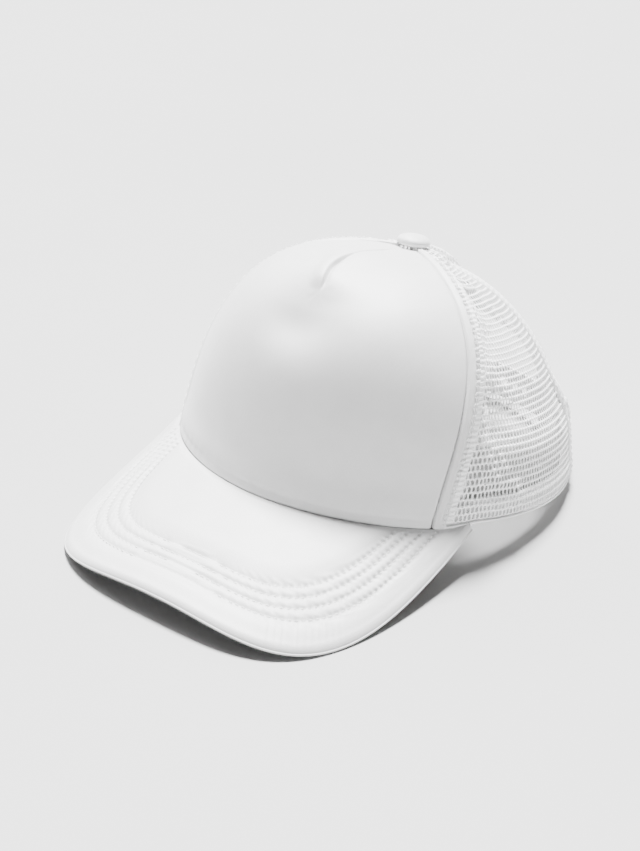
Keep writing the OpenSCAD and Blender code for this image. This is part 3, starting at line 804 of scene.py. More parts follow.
def strip(name, side, levels, columns, centre, profile_near, profile_far, material, **more):
    """A sewn strip along a seam: columns are distances from the seam, profiles its depths across."""
    t = levels[:, None]
    angle = further(centre(t), t, columns[None])
    narrow = np.minimum(1, 1.6*(1.02 - t)/0.3 + 0.25)
    near, far = (cap_point(side*angle, t, d*narrow) for d in (profile_near, profile_far))
    if side < 0:
        near, far = near[:, ::-1], far[:, ::-1]
    return slab(name, near, far, material, **more)


def seam_path(side, levels, centre, distance, depth):
    angle = side*further(centre(levels), levels, distance)
    return cap_point(angle, levels, depth), outward(angle, levels)


TRIM_LOW = float(t_at(FRONT_SEAM_ANGLE + 3, seam_dip(FRONT_SEAM_ANGLE + 3) - 0.8))


def make_trims():
    """Flat trims with a raised edge, and beyond it the lumpy edge of the mesh sewn in under them."""
    levels = np.linspace(TRIM_LOW, PANEL_TOP, 420)
    x = np.array([0.1, 0.25, 0.6, 1.1, 1.7, 2.3, 2.8, 3.3, 3.7, 4.1, 4.5, 4.9, 5.3, 5.7, 6.1, 6.5])
    face = np.interp(x, [0.1, 0.45, 0.9, 2.3, 3.0, 3.5, 4.0, 4.6, 5.6, 6.5],
                     [2.2, 0.75, 0.10, -0.05, -0.34, -0.36, 0.10, -0.10, -0.16, 0.05])
    back = np.interp(x, [0.1, 1.7, 5.7, 6.5], [2.7, 0.7, 0.55, 0.6])
    run = (levels*CROWN_RUN)[:, None]
    lumps = 0.17*np.sin(2*np.pi*run/2.3 + 0.9*np.sin(run*0.31))*ease((x - 4.0)/0.8)[None]
    pull = 0.05*np.sin(run*0.9)*bump(x - 3.2, 0.8)[None]
    for side, word in ((1, "left"), (-1, "right")):
        strip("seam_trim_sewn_" + word, side, levels, x, front_seam, face + lumps + pull, back + 0*run,
              TRIM_CLOTH, slot="trim_cloth", stands_for=["seam_trim_" + word])


def make_panel_stitching():
    levels = np.linspace(0.005, 0.905, 146)
    rows = [seam_path(side, levels, front_seam, distance, -0.2)
            for side in (1, -1) for distance in (4.6, 5.7)]
    stitches("panel_stitching_sewn", [r[0] for r in rows], [r[1] for r in rows], THREAD, length=2.6,
             share=0.74, radius=0.25, slant=0.55, slot="thread", stands_for=["panel_stitching"])


def make_mesh_edges():
    """Doubled edges of the mesh along the trims, gathered a little by their stitching."""
    levels = np.linspace(0.004, PANEL_TOP, 420)
    x = np.linspace(0.0, 3.6, 13)
    run = (levels*CROWN_RUN)[:, None]
    lumps = 0.20*np.sin(2*np.pi*run/2.2 + 1.4*np.sin(run*0.23))*bump(x - 1.6, 1.5)[None]
    lumps = lumps + 0.10*np.sin(2*np.pi*run/1.1 + 3*x[None])
    face = np.interp(x, [0, 0.4, 2.8, 3.6], [0.25, -0.12, 0.0, 0.4])[None] + lumps
    for side, word in ((1, "left"), (-1, "right")):
        strip("mesh_edge_fold_" + word, side, levels, x, trim_seam, face, 0.66 + 0*face, MESH_YARN,
              slot="mesh")


def make_mesh_seams():
    """Turned edges of the mesh panels, folded back on both sides of each seam and stitched down."""
    x = np.linspace(-4.2, 4.2, 19)
    lip = -0.15 - 0.42*(bump(np.abs(x) - 1.5, 1.0) + 0.5*bump(np.abs(x) - 3.2, 1.0)) + 0.9*bump(x, 0.5)
    lip = lip + 0.5*bump(np.abs(x) - 4.2, 0.25)
    under = np.full_like(lip, 0.62)
    low_back = ARCH_TOP + 4.5/CROWN_RUN
    seams = [("side_seam_fold_left", 1, lambda t: SIDE_SEAM_ANGLE + 0*t, 0.004),
             ("side_seam_fold_right", -1, lambda t: SIDE_SEAM_ANGLE + 0*t, 0.004),
             ("centre_back_fold", 1, lambda t: 180 + 0*t, low_back)]
    paths, normals = [], []
    for name, side, centre, low in seams:
        levels = np.linspace(low, PANEL_TOP, 150)
        strip(name, side, levels, x, centre, lip[None] + 0*levels[:, None], under[None] + 0*levels[:, None],
              BINDING_CLOTH, slot="mesh")
        for distance in (-3.2, 3.2):
            p, n = seam_path(side, levels[levels < 0.93], centre, distance, -0.42)
            paths.append(p)
            normals.append(n)
    stitches("mesh_seam_stitching", paths, normals, THREAD, length=3.2, radius=0.2, slot="thread")


def make_tapes():
    top = np.linspace(0.002, PANEL_TOP, 110)
    tapes = []
    for side, word in ((1, "left"), (-1, "right")):
        tapes.append(("front_seam_tape", word, side, front_seam, 0.2, TAPE_WIDTH,
                      np.linspace(TRIM_LOW + 0.012, PANEL_TOP, 110)))
        tapes.append(("side_seam_tape", word, side, lambda t: SIDE_SEAM_ANGLE + 0*t,
                      -TAPE_WIDTH/2, TAPE_WIDTH/2, top))
    tapes.append(("centre_back_tape", "", 1, lambda t: 180 + 0*t, -TAPE_WIDTH/2, TAPE_WIDTH/2,
                  np.linspace(ARCH_TOP + 8/CROWN_RUN, PANEL_TOP, 80)))
    paths, normals = [], []
    for name, word, side, centre, low, high, levels in tapes:
        x = np.linspace(low, high, 14)
        edges = bump(x - low, 0.9) + bump(x - high, 0.9)
        wavy = 0.05*np.sin(levels*CROWN_RUN*0.8)[:, None]
        near = TAPE_DEPTH + 0.12*edges[None] + wavy
        strip(name + "_sewn" + ("_" + word if word else ""), side, levels, x, centre, near,
              near + CLOTH_THICKNESS - 0.15*edges[None], TAPE, slot="tape",
              stands_for=[name + ("_" + word if word else "")])
        for distance in (low + 1.6, high - 1.6):
            p, n = seam_path(side, levels, centre, distance, TAPE_DEPTH + CLOTH_THICKNESS)
            paths.append(p)
            normals.append(-n)
    stitches("tape_stitching", paths, normals, THREAD, length=3.2, radius=0.17, lift=0.12, slot="thread")


# ---- Open mesh ----

HOLE_PITCH, ROW_PITCH, ZIGZAG = 2.2, 3.2, 0.40
RIB_DEPTHS, STRAND_DEPTHS = (0.20, 0.62), (0.22, 0.60)


def net(name, side, centre, inside, **more):
    """Open mesh: rows of oval holes between rounded strands, one closed surface."""
    levels = np.linspace(0, PANEL_TOP, 300)
    spine = skin(centre(levels), levels)
    run = np.concatenate([[0], np.cumsum(np.linalg.norm(np.diff(spine, axis=0), axis=1))])
    half = (ROW_PITCH - ZIGZAG)/2
    rows, cols = int(run[-1]/ROW_PITCH) + 1, int(150/HOLE_PITCH)

    def place(u, v):
        t = np.interp(v, run, levels)
        middle = centre(t)
        return middle + u/np.maximum(per_degree(middle, t), 0.05), t

    j, i = np.mgrid[0:rows, -cols//2:cols//2 + 1]
    u = ((i + 0.5*(j % 2))*HOLE_PITCH).reshape(-1)
    v = (half + ZIGZAG + 0.5 + j*ROW_PITCH).reshape(-1)
    keep = inside(*place(u, v)) & (v < run[-1] - ROW_PITCH)
    u, v = u[keep], v[keep]
    p, q = HOLE_PITCH/2, HOLE_PITCH/4
    ring = np.array([(-p, -half), (-p, 0), (-p, half), (-q, half + ZIGZAG/2), (0, half + ZIGZAG),
                     (q, half + ZIGZAG/2), (p, half), (p, 0), (p, -half), (q, -half - ZIGZAG/2),
                     (0, -half - ZIGZAG), (-q, -half - ZIGZAG/2)])
    crest = np.stack([u, v], -1)[:, None] + ring[None]
    shared, index = np.unique(np.round(crest.reshape(-1, 2)*200).astype(int), axis=0, return_inverse=True)
    index = index.reshape(-1, 12)
    dice = np.random.default_rng(len(name) + 7)
    corner = np.zeros((len(shared), 2))
    corner[index.reshape(-1)] = crest.reshape(-1, 2)
    thin = np.zeros(len(shared))
    thin[index[:, [1, 7]].reshape(-1)] = 1
    corner = corner + dice.normal(0, 0.07, corner.shape)
    turn = np.arctan2(ring[:, 1]/1.27, ring[:, 0]/0.83)
    round_hole = np.stack([0.66*signed_power(np.cos(turn), 0.95), 1.06*signed_power(np.sin(turn), 0.95)], -1)
    size = dice.normal(1, 0.04, (len(u), 1, 2))
    centre_of = crest.mean(1, keepdims=True) + dice.normal(0, 0.04, (len(u), 1, 2))
    hole = centre_of + round_hole[None]*size
    front, back = (lerp(rib, strand, thin) for rib, strand in zip(RIB_DEPTHS, STRAND_DEPTHS))
    points = []
    for flat, depth in ((corner, front), (corner, back), (hole.reshape(-1, 2), 0.38)):
        angle, t = place(flat[:, 0], flat[:, 1])
        points.append(cap_point(side*angle, t, depth))
    count = len(shared)
    inner = 2*count + np.arange(len(u)*12).reshape(-1, 12)
    near = np.stack([index, inner, np.roll(inner, -1, 1), np.roll(index, -1, 1)], -1).reshape(-1, 4)
    far = np.stack([np.roll(index, -1, 1), np.roll(inner, -1, 1), inner, index], -1).reshape(-1, 4)
    far = np.where(far < count, far + count, far)
    ends = np.stack([index, np.roll(index, -1, 1)], -1).reshape(-1, 2)
    codes = np.sort(ends, 1)[:, 0]*count + np.sort(ends, 1)[:, 1]
    _, inverse, uses = np.unique(codes, return_inverse=True, return_counts=True)
    rim = ends[uses[inverse.reshape(-1)] == 1]
    walls = np.stack([rim[:, 0], rim[:, 1], rim[:, 1] + count, rim[:, 0] + count], -1)
    faces = np.concatenate([near, far, walls])
    if side > 0:
        faces = faces[:, ::-1]
    return piece(name, settle(np.concatenate(points)), faces, MESH_YARN, slot="mesh", **more)


def side_middle(t):
    return lerp(trim_seam(t), SIDE_SEAM_ANGLE, 0.5)


def back_middle(t):
    return lerp(SIDE_SEAM_ANGLE, 180 - ARCH_ANGLE, 0.5) + 0*t + 16*ease((t - 0.3)/0.3)


def in_side(angle, t):
    return (angle > further(trim_seam(t), t, -0.9)) & (angle < further(SIDE_SEAM_ANGLE, t, 0.2))


def in_back(angle, t):
    return (angle > further(SIDE_SEAM_ANGLE, t, -0.2)) & (angle < further(180 - arch_half(t, 3.0), t, 0.4))


def make_nets():
    panels = (("side", side_middle, in_side, 0.0075), ("back", back_middle, in_back, 0.0065))
    for side, word in ((1, "left"), (-1, "right")):
        for place, middle, inside, yarn_area in panels:
            cloth = net(f"{place}_mesh_net_{word}", side, middle, inside, stands_for=[f"{place}_mesh_{word}"])


# ---- Hems, bindings and sweatband ----


def outlines(corners, radius, spare):
    """Closed outlines with rounded corners, given as stations by corners by 2.

    spare is how many points each side gets between its corners.
    """
    count, rows = corners.shape[1], []
    for i in range(count):
        here, before, after = corners[:, i], corners[:, i - 1], corners[:, (i + 1) % count]
        side_in = np.linalg.norm(before - here, axis=-1, keepdims=True)
        side_out = np.linalg.norm(after - here, axis=-1, keepdims=True)
        first = here + (before - here)/side_in*np.minimum(radius, 0.45*side_in)
        last = here + (after - here)/side_out*np.minimum(radius, 0.45*side_out)
        for w in (0, 0.25, 0.5, 0.75, 1):
            rows.append((1 - w)**2*first + 2*w*(1 - w)*here + w*w*last)
        end = after + (here - after)/side_out*np.minimum(radius, 0.45*side_out)
        rows += [lerp(last, end, k/(spare[i] + 1)) for k in range(1, spare[i] + 1)]
    return np.stack(rows, 1)


def corner_grid(stations, corners):
    """The same or varying corners at every station."""
    return np.stack([np.stack([np.broadcast_to(v, stations.shape) for v in pair], -1) for pair in corners], 1)


def rim_band(name, side, angles, corners, radius, spare, material, bend=0.0, **more):
    shape = outlines(corner_grid(angles, corners), radius, spare)
    depth, height = shape[..., 0], shape[..., 1]
    across = np.broadcast_to(angles[:, None], depth.shape)
    t = t_at(across, height)
    points = cap_point(side*across, t, depth) if bend else crown(side*across, t, depth)
    return swept(name, points, material, **more)


def make_hems():
    angles = np.linspace(FRONT_SEAM_ANGLE + 3, FOOT_ANGLE - 0.6, 230)
    pucker = 0.08*np.sin(angles*PER_TURN*1.1)
    low = -1.0 + seam_dip(angles)*(1 - ease((angles - BRIM_END_ANGLE + 3)/4))
    out, leg = -0.15 + pucker, HEM_DEPTH
    corners = [(out, low), (5.4, low), (5.4, -0.15), (leg + 0.5, -0.15), (leg + 0.5, 10.0), (leg, 10.0),
               (leg, -0.15), (out, low + 0.95)]
    paths, normals = [], []
    for side, word in ((1, "left"), (-1, "right")):
        rim_band("rim_hem_sewn_" + word, side, angles, corners, 0.35, [2, 1, 1, 5, 1, 5, 1, 1],
                 BINDING_CLOTH, 1.0, slot="tape", stands_for=["rim_hem_" + word])
        run = angles[4:-2]
        t = t_at(run, 8.2)
        paths.append(cap_point(side*run, t, leg + 0.5))
        normals.append(-outward(side*run, t))
        paths.append(cap_point(side*run, t, -0.02))
        normals.append(outward(side*run, t))
    stitches("rim_stitching", paths, normals, THREAD, length=3.2, radius=0.17, slot="thread")


def make_brim_binding():
    angles = np.linspace(1 - BRIM_END_ANGLE, BRIM_END_ANGLE - 1, 160)
    leg = FOAM_DEPTH + FOAM_THICKNESS + 2*LAYER_GAP
    low = seam_dip(angles) - 2.0
    corners = [(0.6, low), (7.1, low), (7.1, low + 1), (leg + 0.5, low + 1), (leg + 0.5, low + 10),
               (leg, low + 10), (leg, low + 1), (0.6, low + 1)]
    rim_band("brim_seam_binding_sewn", 1, angles, corners, 0.3, [2, 1, 1, 4, 1, 4, 1, 2], BINDING_CLOTH,
             slot="tape", stands_for=["brim_seam_binding"])


def arch_point(turn, grow, depth):
    a = np.radians(turn)
    t = lerp(0.006, ARCH_TOP + grow/CROWN_RUN, np.maximum(np.sin(a), 0)**(2/ARCH_SIDES))
    return 180 + (ARCH_ANGLE + grow/PER_TURN)*np.cos(a), t, depth


def make_arch_binding():
    turns = np.linspace(0, 180, 240)
    pucker = 0.10*np.sin(turns*1.9) + 0.05*np.sin(turns*3.7)
    corners = [(0.0, -0.8), (7.0, -0.75 + 0.4*pucker), (7.0, -0.2), (0.6, -0.3), (0.6, 1.1), (7.0, 1.1),
               (7.0, 1.6), (0.0, 1.6)]
    shape = outlines(corner_grid(turns, corners), 0.42, [5, 1, 4, 1, 4, 1, 5, 2])
    grow, depth = shape[..., 0], shape[..., 1]
    furrow = 0.28*bump(grow - 5.5, 0.55)
    depth = depth + np.where(depth < -0.5, furrow, 0) - np.where(depth > 1.3, 0.5*furrow, 0)
    points = cap_point(*arch_point(np.broadcast_to(turns[:, None], grow.shape), grow, depth))
    swept("rear_arch_binding_sewn", points, BINDING_CLOTH, slot="tape", stands_for=["rear_arch_binding"])
    angle, t, _ = arch_point(turns[3:-3], 5.5, 0)
    stitches("rear_arch_stitching", [cap_point(angle, t, -0.62), cap_point(angle, t, 1.5)],
             [outward(angle, t), -outward(angle, t)], THREAD, length=3.2, radius=0.2, slot="thread")


def make_sweatband():
    end = FOOT_ANGLE - 5
    angles = np.linspace(-end, end, 330)
    low = -0.6 - 2*np.clip((BRIM_END_ANGLE - np.abs(angles))/20, 0, 1)
    top, inner = SWEATBAND_HEIGHT + 0*angles, SWEATBAND_DEPTH + SWEATBAND_THICKNESS
    swell = 0.12*np.sin(angles*PER_TURN*0.35) + 0.08*np.sin(angles*PER_TURN*0.9 + 1)
    corners = [(7.0, top), (inner, top), (inner + swell, low*0.3 + top*0.7),
               (inner + 0.5*swell, low*0.7 + top*0.3),
               (inner, low), (5.6, low), (5.6, low + 0.5), (7.0, low + 0.5)]
    cloth = rim_band("sweatband_cloth_sewn", 1, angles, corners, 0.5, [1, 4, 6, 4, 2, 1, 1, 12],
                     SWEATBAND_CLOTH, slot="sweatband_cloth", stands_for=["sweatband_cloth"])
    coarse = angles[::3]
    levels = np.array([0.02, 0.25, 0.5, 0.75, 0.97])[:, None]
    height = lerp(low[::3] + 0.6, top[::3], levels)
    t = t_at(coarse[None], height)
    pad = slab("sweatband_foam_pad", crown(coarse[None] + 0*t, t, SWEATBAND_DEPTH),
               crown(coarse[None] + 0*t, t, 6.85), FOAM, slot="foam", stands_for=["sweatband_foam"])
    paths, normals = [], []
    for height in (SWEATBAND_HEIGHT - 2.2, 2.4):
        run = angles[4:-4]
        t = t_at(run, height)
        paths.append(crown(run, t, inner + 0.05))
        normals.append(-outward(run, t))
    stitches("sweatband_stitching", paths, normals, THREAD, length=3.4, radius=0.2, slot="thread")


# ---- Brim ----

BRIM_REACH = BRIM_END[1] + FRONT_LENGTH + BRIM_LENGTH
RUN_END, ROW_LEAD, FURROW, STITCH_LENGTH = 0.975, -2.1, 0.95, 3.0
PADDING_LOW = 2.1


def brim_out(x, y):
    """Upward direction of the brim's top."""
    step = 0.1
    slope_x = (brim_height(x + step, y) - brim_height(x - step, y))/(2*step)
    slope_y = (brim_height(x, y + step) - brim_height(x, y - step))/(2*step)
    return unit(np.stack([-slope_x, -slope_y, np.ones_like(slope_x)], -1))


def inset_of(x, y):
    """Distance in from the brim's edge, on the outlines that the stitch rows follow, by halving."""
    low, high = np.full(x.shape, -4.0), np.full(x.shape, 80.0)
    ahead = np.maximum(BRIM_END[1] - y, 0)
    for _ in range(22):
        mid = (low + high)/2
        inside = ((np.abs(x)/(BRIM_END[0] - mid))**BRIM_SQUARENESS
                  + (ahead/(BRIM_REACH + ROW_LEAD - mid))**BRIM_SQUARENESS) < 1
        low, high = np.where(inside, mid, low), np.where(inside, high, mid)
    return (low + high)/2


def stitch_row(row):
    """Level path of a row of stitches, between the places where it meets the crown."""
    edge = brim_edge_at(np.linspace(-90, 90, 4001), -STITCH_MARGIN - row*STITCH_PITCH, ROW_LEAD)
    clear = (edge[:, 0]/(HALF_WIDTH + 1))**2 + (edge[:, 1]/(FRONT_LENGTH + 1))**2 > 1
    inside = np.flatnonzero(~clear)
    low = inside[inside < 2000].max() + 1 if np.any(inside < 2000) else 0
    high = inside[inside > 2000].min() if np.any(inside > 2000) else 4001
    path = edge[low:high]
    return even(path, int(length_of(path)/0.25))


STITCH_PATHS = [stitch_row(row) for row in range(STITCH_ROWS)]


def stitch_beat(x, y):
    """How close a point lies to a stitch row, and 1 at the needle holes along it, 0 between them."""
    tree = kdtree.KDTree(sum(len(p) for p in STITCH_PATHS))
    beat = []
    for path in STITCH_PATHS:
        count = round(length_of(path)/STITCH_LENGTH)
        for i, p in enumerate(path):
            tree.insert((p[0], p[1], 0), len(beat))
            beat.append(0.5 + 0.5*math.cos(2*math.pi*count*i/(len(path) - 1)))
    tree.balance()
    found = [tree.find((a, b, 0)) for a, b in zip(x.reshape(-1), y.reshape(-1))]
    distance = np.array([f[2] for f in found]).reshape(x.shape)
    return distance, np.array(beat)[[f[1] for f in found]].reshape(x.shape)


def brim_relief(x, y, dimples=True):
    """Height of the quilted cover over the brim's plain curve."""
    inset = inset_of(x, y)
    first, last = STITCH_MARGIN, STITCH_MARGIN + (STITCH_ROWS - 1)*STITCH_PITCH
    between = np.abs(np.sin(np.pi*(inset - first)/STITCH_PITCH))**0.6
    height = np.where(inset < first, 1 - np.exp(-(first - inset)/1.3),
                      np.where(inset > last, 1 - np.exp(-(inset - last)/1.5), between)) - 1
    height = FURROW*height + 0.75*ease((inset - last)/9) + 0.25*bump(inset - 6, 3)
    height = height + 0.10*np.sin(x*0.21 + 1.3*np.sin(y*0.11))*ease((inset - last)/6)
    if dimples:
        distance, beat = stitch_beat(x, y)
        height = height + (0.95*(1 - beat) - 0.50)*bump(distance, 1.0)
        height = height + 0.16*np.sin(inset*2.1 + x*1.25)*bump(distance - 1.8, 1.3)
    return height


def brim_grid(rows, cols, grow):
    run = np.linspace(-RUN_END, RUN_END, cols)
    run = run + 0.03*np.sin(2*np.pi*run)
    turn = 90*np.sign(run)*(1 - (1 - np.abs(run))**2)
    near = opening(run*BRIM_END_ANGLE, 0.4)
    far = brim_edge_at(turn, grow)
    return lerp(near[None], far[None], np.linspace(0, 1, rows)[:, None, None]), near, turn


def brim_cover(rows, cols, depth, side, thickness, relief):
    """Outer and inner grids of a cover: a flange under the crown, the quilted sheet, and the rolled edge."""
    flat, seam, turn = brim_grid(rows, cols, -BRIM_THICKNESS/2)
    x, y = flat[..., 0], flat[..., 1]
    raised = relief(x, y)
    near_seam = np.linalg.norm(flat - seam[None], axis=-1)
    raised = raised*ease(near_seam/3.5) - 0.5*side*bump(near_seam, 1.6)
    edge_run = np.linspace(1, 0, rows)[:, None]*np.linalg.norm(flat[-1] - flat[0], axis=-1)[None]
    raised = raised*ease(edge_run/3.0)
    up = side*brim_out(x, y)
    sheet = np.concatenate([flat, (brim_height(x, y) - depth)[..., None]], -1)
    inward = -unit(seam)
    flange = [np.concatenate([seam + inward*reach, (brim_height(*seam.T) - depth)[:, None]], -1)
              - np.array([0, 0, side*(0.55 + 0.3*reach)]) for reach in (3.2, 1.8, 0.8)]
    roll = BRIM_THICKNESS/2 - 0.12
    grids = []
    for offset in (0.0, thickness):
        edge = []
        for bend in np.radians([12, 24, 36, 48, 60, 72, 84, 90]):
            p = brim_edge_at(turn, -BRIM_THICKNESS/2 + (roll - offset)*math.sin(bend))
            drop = side*(roll - (roll - offset)*math.cos(bend))
            edge.append(np.concatenate([p, (brim_height(*p.T) - depth - drop)[:, None]], -1))
        top = sheet + ((raised - offset)[..., None])*up
        grids.append(np.concatenate([np.stack(flange) - np.array([0, 0, side*offset]), top, np.stack(edge)]))
    return grids


def make_brim():
    near, far = brim_cover(112, 330, 0.0, 1, CLOTH_THICKNESS, brim_relief)
    top = slab("brim_top_cover_sewn", near, far, BRIM_CLOTH, slot="brim_cloth", stands_for=["brim_top_cover"])
    near, far = brim_cover(64, 240, BRIM_THICKNESS, -1, CLOTH_THICKNESS,
                           lambda x, y: 0.35*brim_relief(x, y, False))
    # The under cover carries the near-black painted shade of the brim's underside.
    under = slab("brim_under_cover_sewn", near, far, UNDER_CLOTH_PAINTED_SHADE, slot="brim_cloth",
                 stands_for=["brim_under_cover"])
    flat, _, _ = brim_grid(40, 140, -BRIM_THICKNESS/2 - 0.3)
    x, y = flat[..., 0], flat[..., 1]
    raised = np.minimum(brim_relief(x, y, False), 0.0)*0.8
    edge = np.linspace(1, 0, 40)[:, None]
    base = np.concatenate([flat, brim_height(x, y)[..., None]], -1)
    pad_top = base - (0.75 - raised + 0.5*bump(edge, 0.02))[..., None]*brim_out(x, y)
    pad = slab("brim_padding_foam", pad_top, base - np.array([0, 0, PADDING_LOW - 0.08]), FOAM, slot="foam",
               stands_for=["brim_padding"])
    base = np.concatenate([flat, brim_height(x, y)[..., None]], -1)
    slab("brim_board_moulded", base - np.array([0, 0, PADDING_LOW]),
         base - np.array([0, 0, PADDING_LOW + 1.8]),
         BOARD, slot="brim_board", stands_for=["brim_board"])


def make_brim_stitching():
    for name, depth, side, inset, stands in (("brim_stitching_sewn", 0.0, 1, -FURROW, ["brim_stitching"]),
                                             ("brim_under_stitching", BRIM_THICKNESS, -1, -0.3, [])):
        paths, normals = [], []
        for path in STITCH_PATHS:
            out = side*brim_out(path[:, 0], path[:, 1])
            level = np.concatenate([path, (brim_height(path[:, 0], path[:, 1]) - depth)[:, None]], -1)
            paths.append(level + (inset + 0.12)*out)
            normals.append(out)
        stitches(name, paths, normals, THREAD, length=STITCH_LENGTH, share=0.8, radius=0.24, slot="thread",
                 stands_for=stands)


def make_brim_welt():
    """Thin cord of cloth in the seam round the brim's edge."""
    run = np.linspace(-RUN_END, RUN_END, 420)
    turn = 90*np.sign(run)*(1 - (1 - np.abs(run))**2)
    edge = brim_edge_at(turn, -0.28)
    spine = np.concatenate([edge, (brim_height(*edge.T) - BRIM_THICKNESS/2)[:, None]], -1)
    forward = unit(np.gradient(spine, axis=0))
    up = brim_out(*edge.T)
    side = unit(np.cross(forward, up))
    around = np.linspace(0, 2*np.pi, 9)[:-1]
    rings = spine[:, None] + 0.55*(np.cos(around)[None, :, None]*side[:, None]
                                   + np.sin(around)[None, :, None]*up[:, None])
    swept("brim_edge_welt", rings, BRIM_CLOTH, slot="brim_cloth")


# ---- Button ----


def make_button():
    radius, sides = BUTTON_DIAMETER/2, 96
    around = np.linspace(0, 2*np.pi, sides, endpoint=False)
    rings = []
    for w in np.concatenate([np.linspace(0.002, 0.9, 22), np.linspace(0.91, 1, 8)]):
        bend = w*math.pi/2
        out = radius*math.sin(bend)**0.86
        height = BUTTON_HEIGHT*(0.16 + 0.84*max(math.cos(bend), 0)**0.72)
        pleat = 0.10*np.cos(11*around + 0.7)*w**6 + 0.05*np.cos(29*around)*w**8
        rings.append(np.stack([(out + pleat)*np.cos(around), (out + pleat)*np.sin(around),
                               height + 0*around], -1))
    for out, height in ((0.985, 0.45), (0.93, 0.18), (0.86, 0.05), (0.80, 0.1), (0.78, 0.5)):
        rings.append(np.stack([radius*out*np.cos(around), radius*out*np.sin(around), height + 0*around], -1))
    points = np.stack(rings) + np.array([0, BUTTON_SETBACK, CROWN_HEIGHT + BUTTON_LIFT])
    swept("button_cover_sewn", points, TRIM_CLOTH, slot="front_cloth", stands_for=["button_cover"])


# ---- Snap straps ----

TAB_LENGTH, STRAP_EDGE = 16.0, 0.45


def strap_outline(inset):
    """Outline of a strap with its tab, run and height, moved in by inset."""
    mid, half = STRAP_WIDTH/2, STRAP_WIDTH/2 - inset
    reach = 0.53*STRAP_WIDTH - inset
    tip = STRAP_LENGTH - 0.53*STRAP_WIDTH
    bend = np.radians(np.linspace(-90, 90, 60))
    end = np.stack([tip + reach*np.cos(bend), mid + half*np.sin(bend)], -1)
    turn, corner = np.radians(np.linspace(90, 180, 8)), 2.0
    back = -TAB_LENGTH + inset
    high = np.stack([back + corner + corner*np.cos(turn), mid + half - corner + corner*np.sin(turn)], -1)
    low = np.stack([high[::-1, 0], 2*mid - high[::-1, 1]], -1)
    loop = np.concatenate([end, high, low, end[:1]])
    return even(loop, 231)[:-1]


def hole_loop(centre, radius, count=28):
    turn = np.linspace(0, 2*np.pi, count, endpoint=False)
    return np.stack([centre + radius*np.cos(turn), STRAP_WIDTH/2 + radius*np.sin(turn)], -1)


def snap_runs():
    return FIRST_SNAP + SNAP_PITCH*np.arange(SNAP_COUNT)


def plate_points(holes):
    """Points and constraint loops of a strap's face, and its triangles."""
    loops = [strap_outline(STRAP_EDGE)] + [hole_loop(c, SNAP_HOLE_RADIUS + 0.3) for c in holes]
    extra = [strap_outline(inset)[::2] for inset in (0.85, 1.2, 1.6, 2.2)]
    extra += [hole_loop(c, SNAP_HOLE_RADIUS + grow, 24) for c in holes for grow in (0.65, 1.05)]
    gx, gy = np.meshgrid(np.arange(-TAB_LENGTH + 3, STRAP_LENGTH - 3, 1.3),
                         np.arange(3.2, STRAP_WIDTH - 3, 1.26))
    grid = np.stack([gx.reshape(-1), gy.reshape(-1)], -1)
    tip = STRAP_LENGTH - 0.53*STRAP_WIDTH
    grid = grid[(grid[:, 0] < tip) | (np.hypot(grid[:, 0] - tip, grid[:, 1] - STRAP_WIDTH/2) < 7)]
    for c in holes:
        grid = grid[np.hypot(grid[:, 0] - c, grid[:, 1] - STRAP_WIDTH/2) > SNAP_HOLE_RADIUS + 1.5]
    points = np.concatenate(loops + extra + [grid])
    edges, start = [], 0
    for loop in loops:
        edges += [(start + k, start + (k + 1) % len(loop)) for k in range(len(loop))]
        start += len(loop)
    made = delaunay_2d_cdt([Vector(p) for p in points.tolist()], edges, [], 0, 1e-5)
    flat = np.array([list(v) for v in made[0]])
    place = {old: new for new, group in enumerate(made[3]) for old in group}
    triangles = np.array([f for f in made[2] if len(f) == 3])
    middle = flat[triangles].mean(1)
    outer = strap_outline(STRAP_EDGE - 0.02)
    keep = inside_loop(middle, outer)
    for c in holes:
        keep &= np.hypot(middle[:, 0] - c, middle[:, 1] - STRAP_WIDTH/2) > SNAP_HOLE_RADIUS + 0.27
    index, start = [], 0
    for loop in loops:
        index.append(np.array([place[start + k] for k in range(len(loop))]))
        start += len(loop)
    return flat, triangles[keep], index


def inside_loop(points, loop):
    inside = np.zeros(len(points), bool)
    ahead = np.roll(loop, -1, 0)
    for (ax, ay), (bx, by) in zip(loop, ahead):
        crosses = (ay > points[:, 1]) != (by > points[:, 1])
        inside ^= crosses & (points[:, 0] < (bx - ax)*(points[:, 1] - ay)/(by - ay + 1e-12) + ax)
    return inside


def face_height(flat, holes):
    """Raised rim, hole collars and the thinner flexible web of a strap's face."""
    edge = np.minimum(flat[:, 1], STRAP_WIDTH - flat[:, 1])
    tip = STRAP_LENGTH - 0.53*STRAP_WIDTH
    round_end = 0.53*STRAP_WIDTH - np.hypot(flat[:, 0] - tip, flat[:, 1] - STRAP_WIDTH/2)
    edge = np.where(flat[:, 0] > tip, np.minimum(edge, round_end), edge)
    height = 0.16*bump(edge - 1.2, 0.55) - 0.32*bump(flat[:, 0], 0.9)
    for c in holes:
        distance = np.hypot(flat[:, 0] - c, flat[:, 1] - STRAP_WIDTH/2) - SNAP_HOLE_RADIUS
        height += 0.14*bump(distance - 0.6, 0.4)
    return height


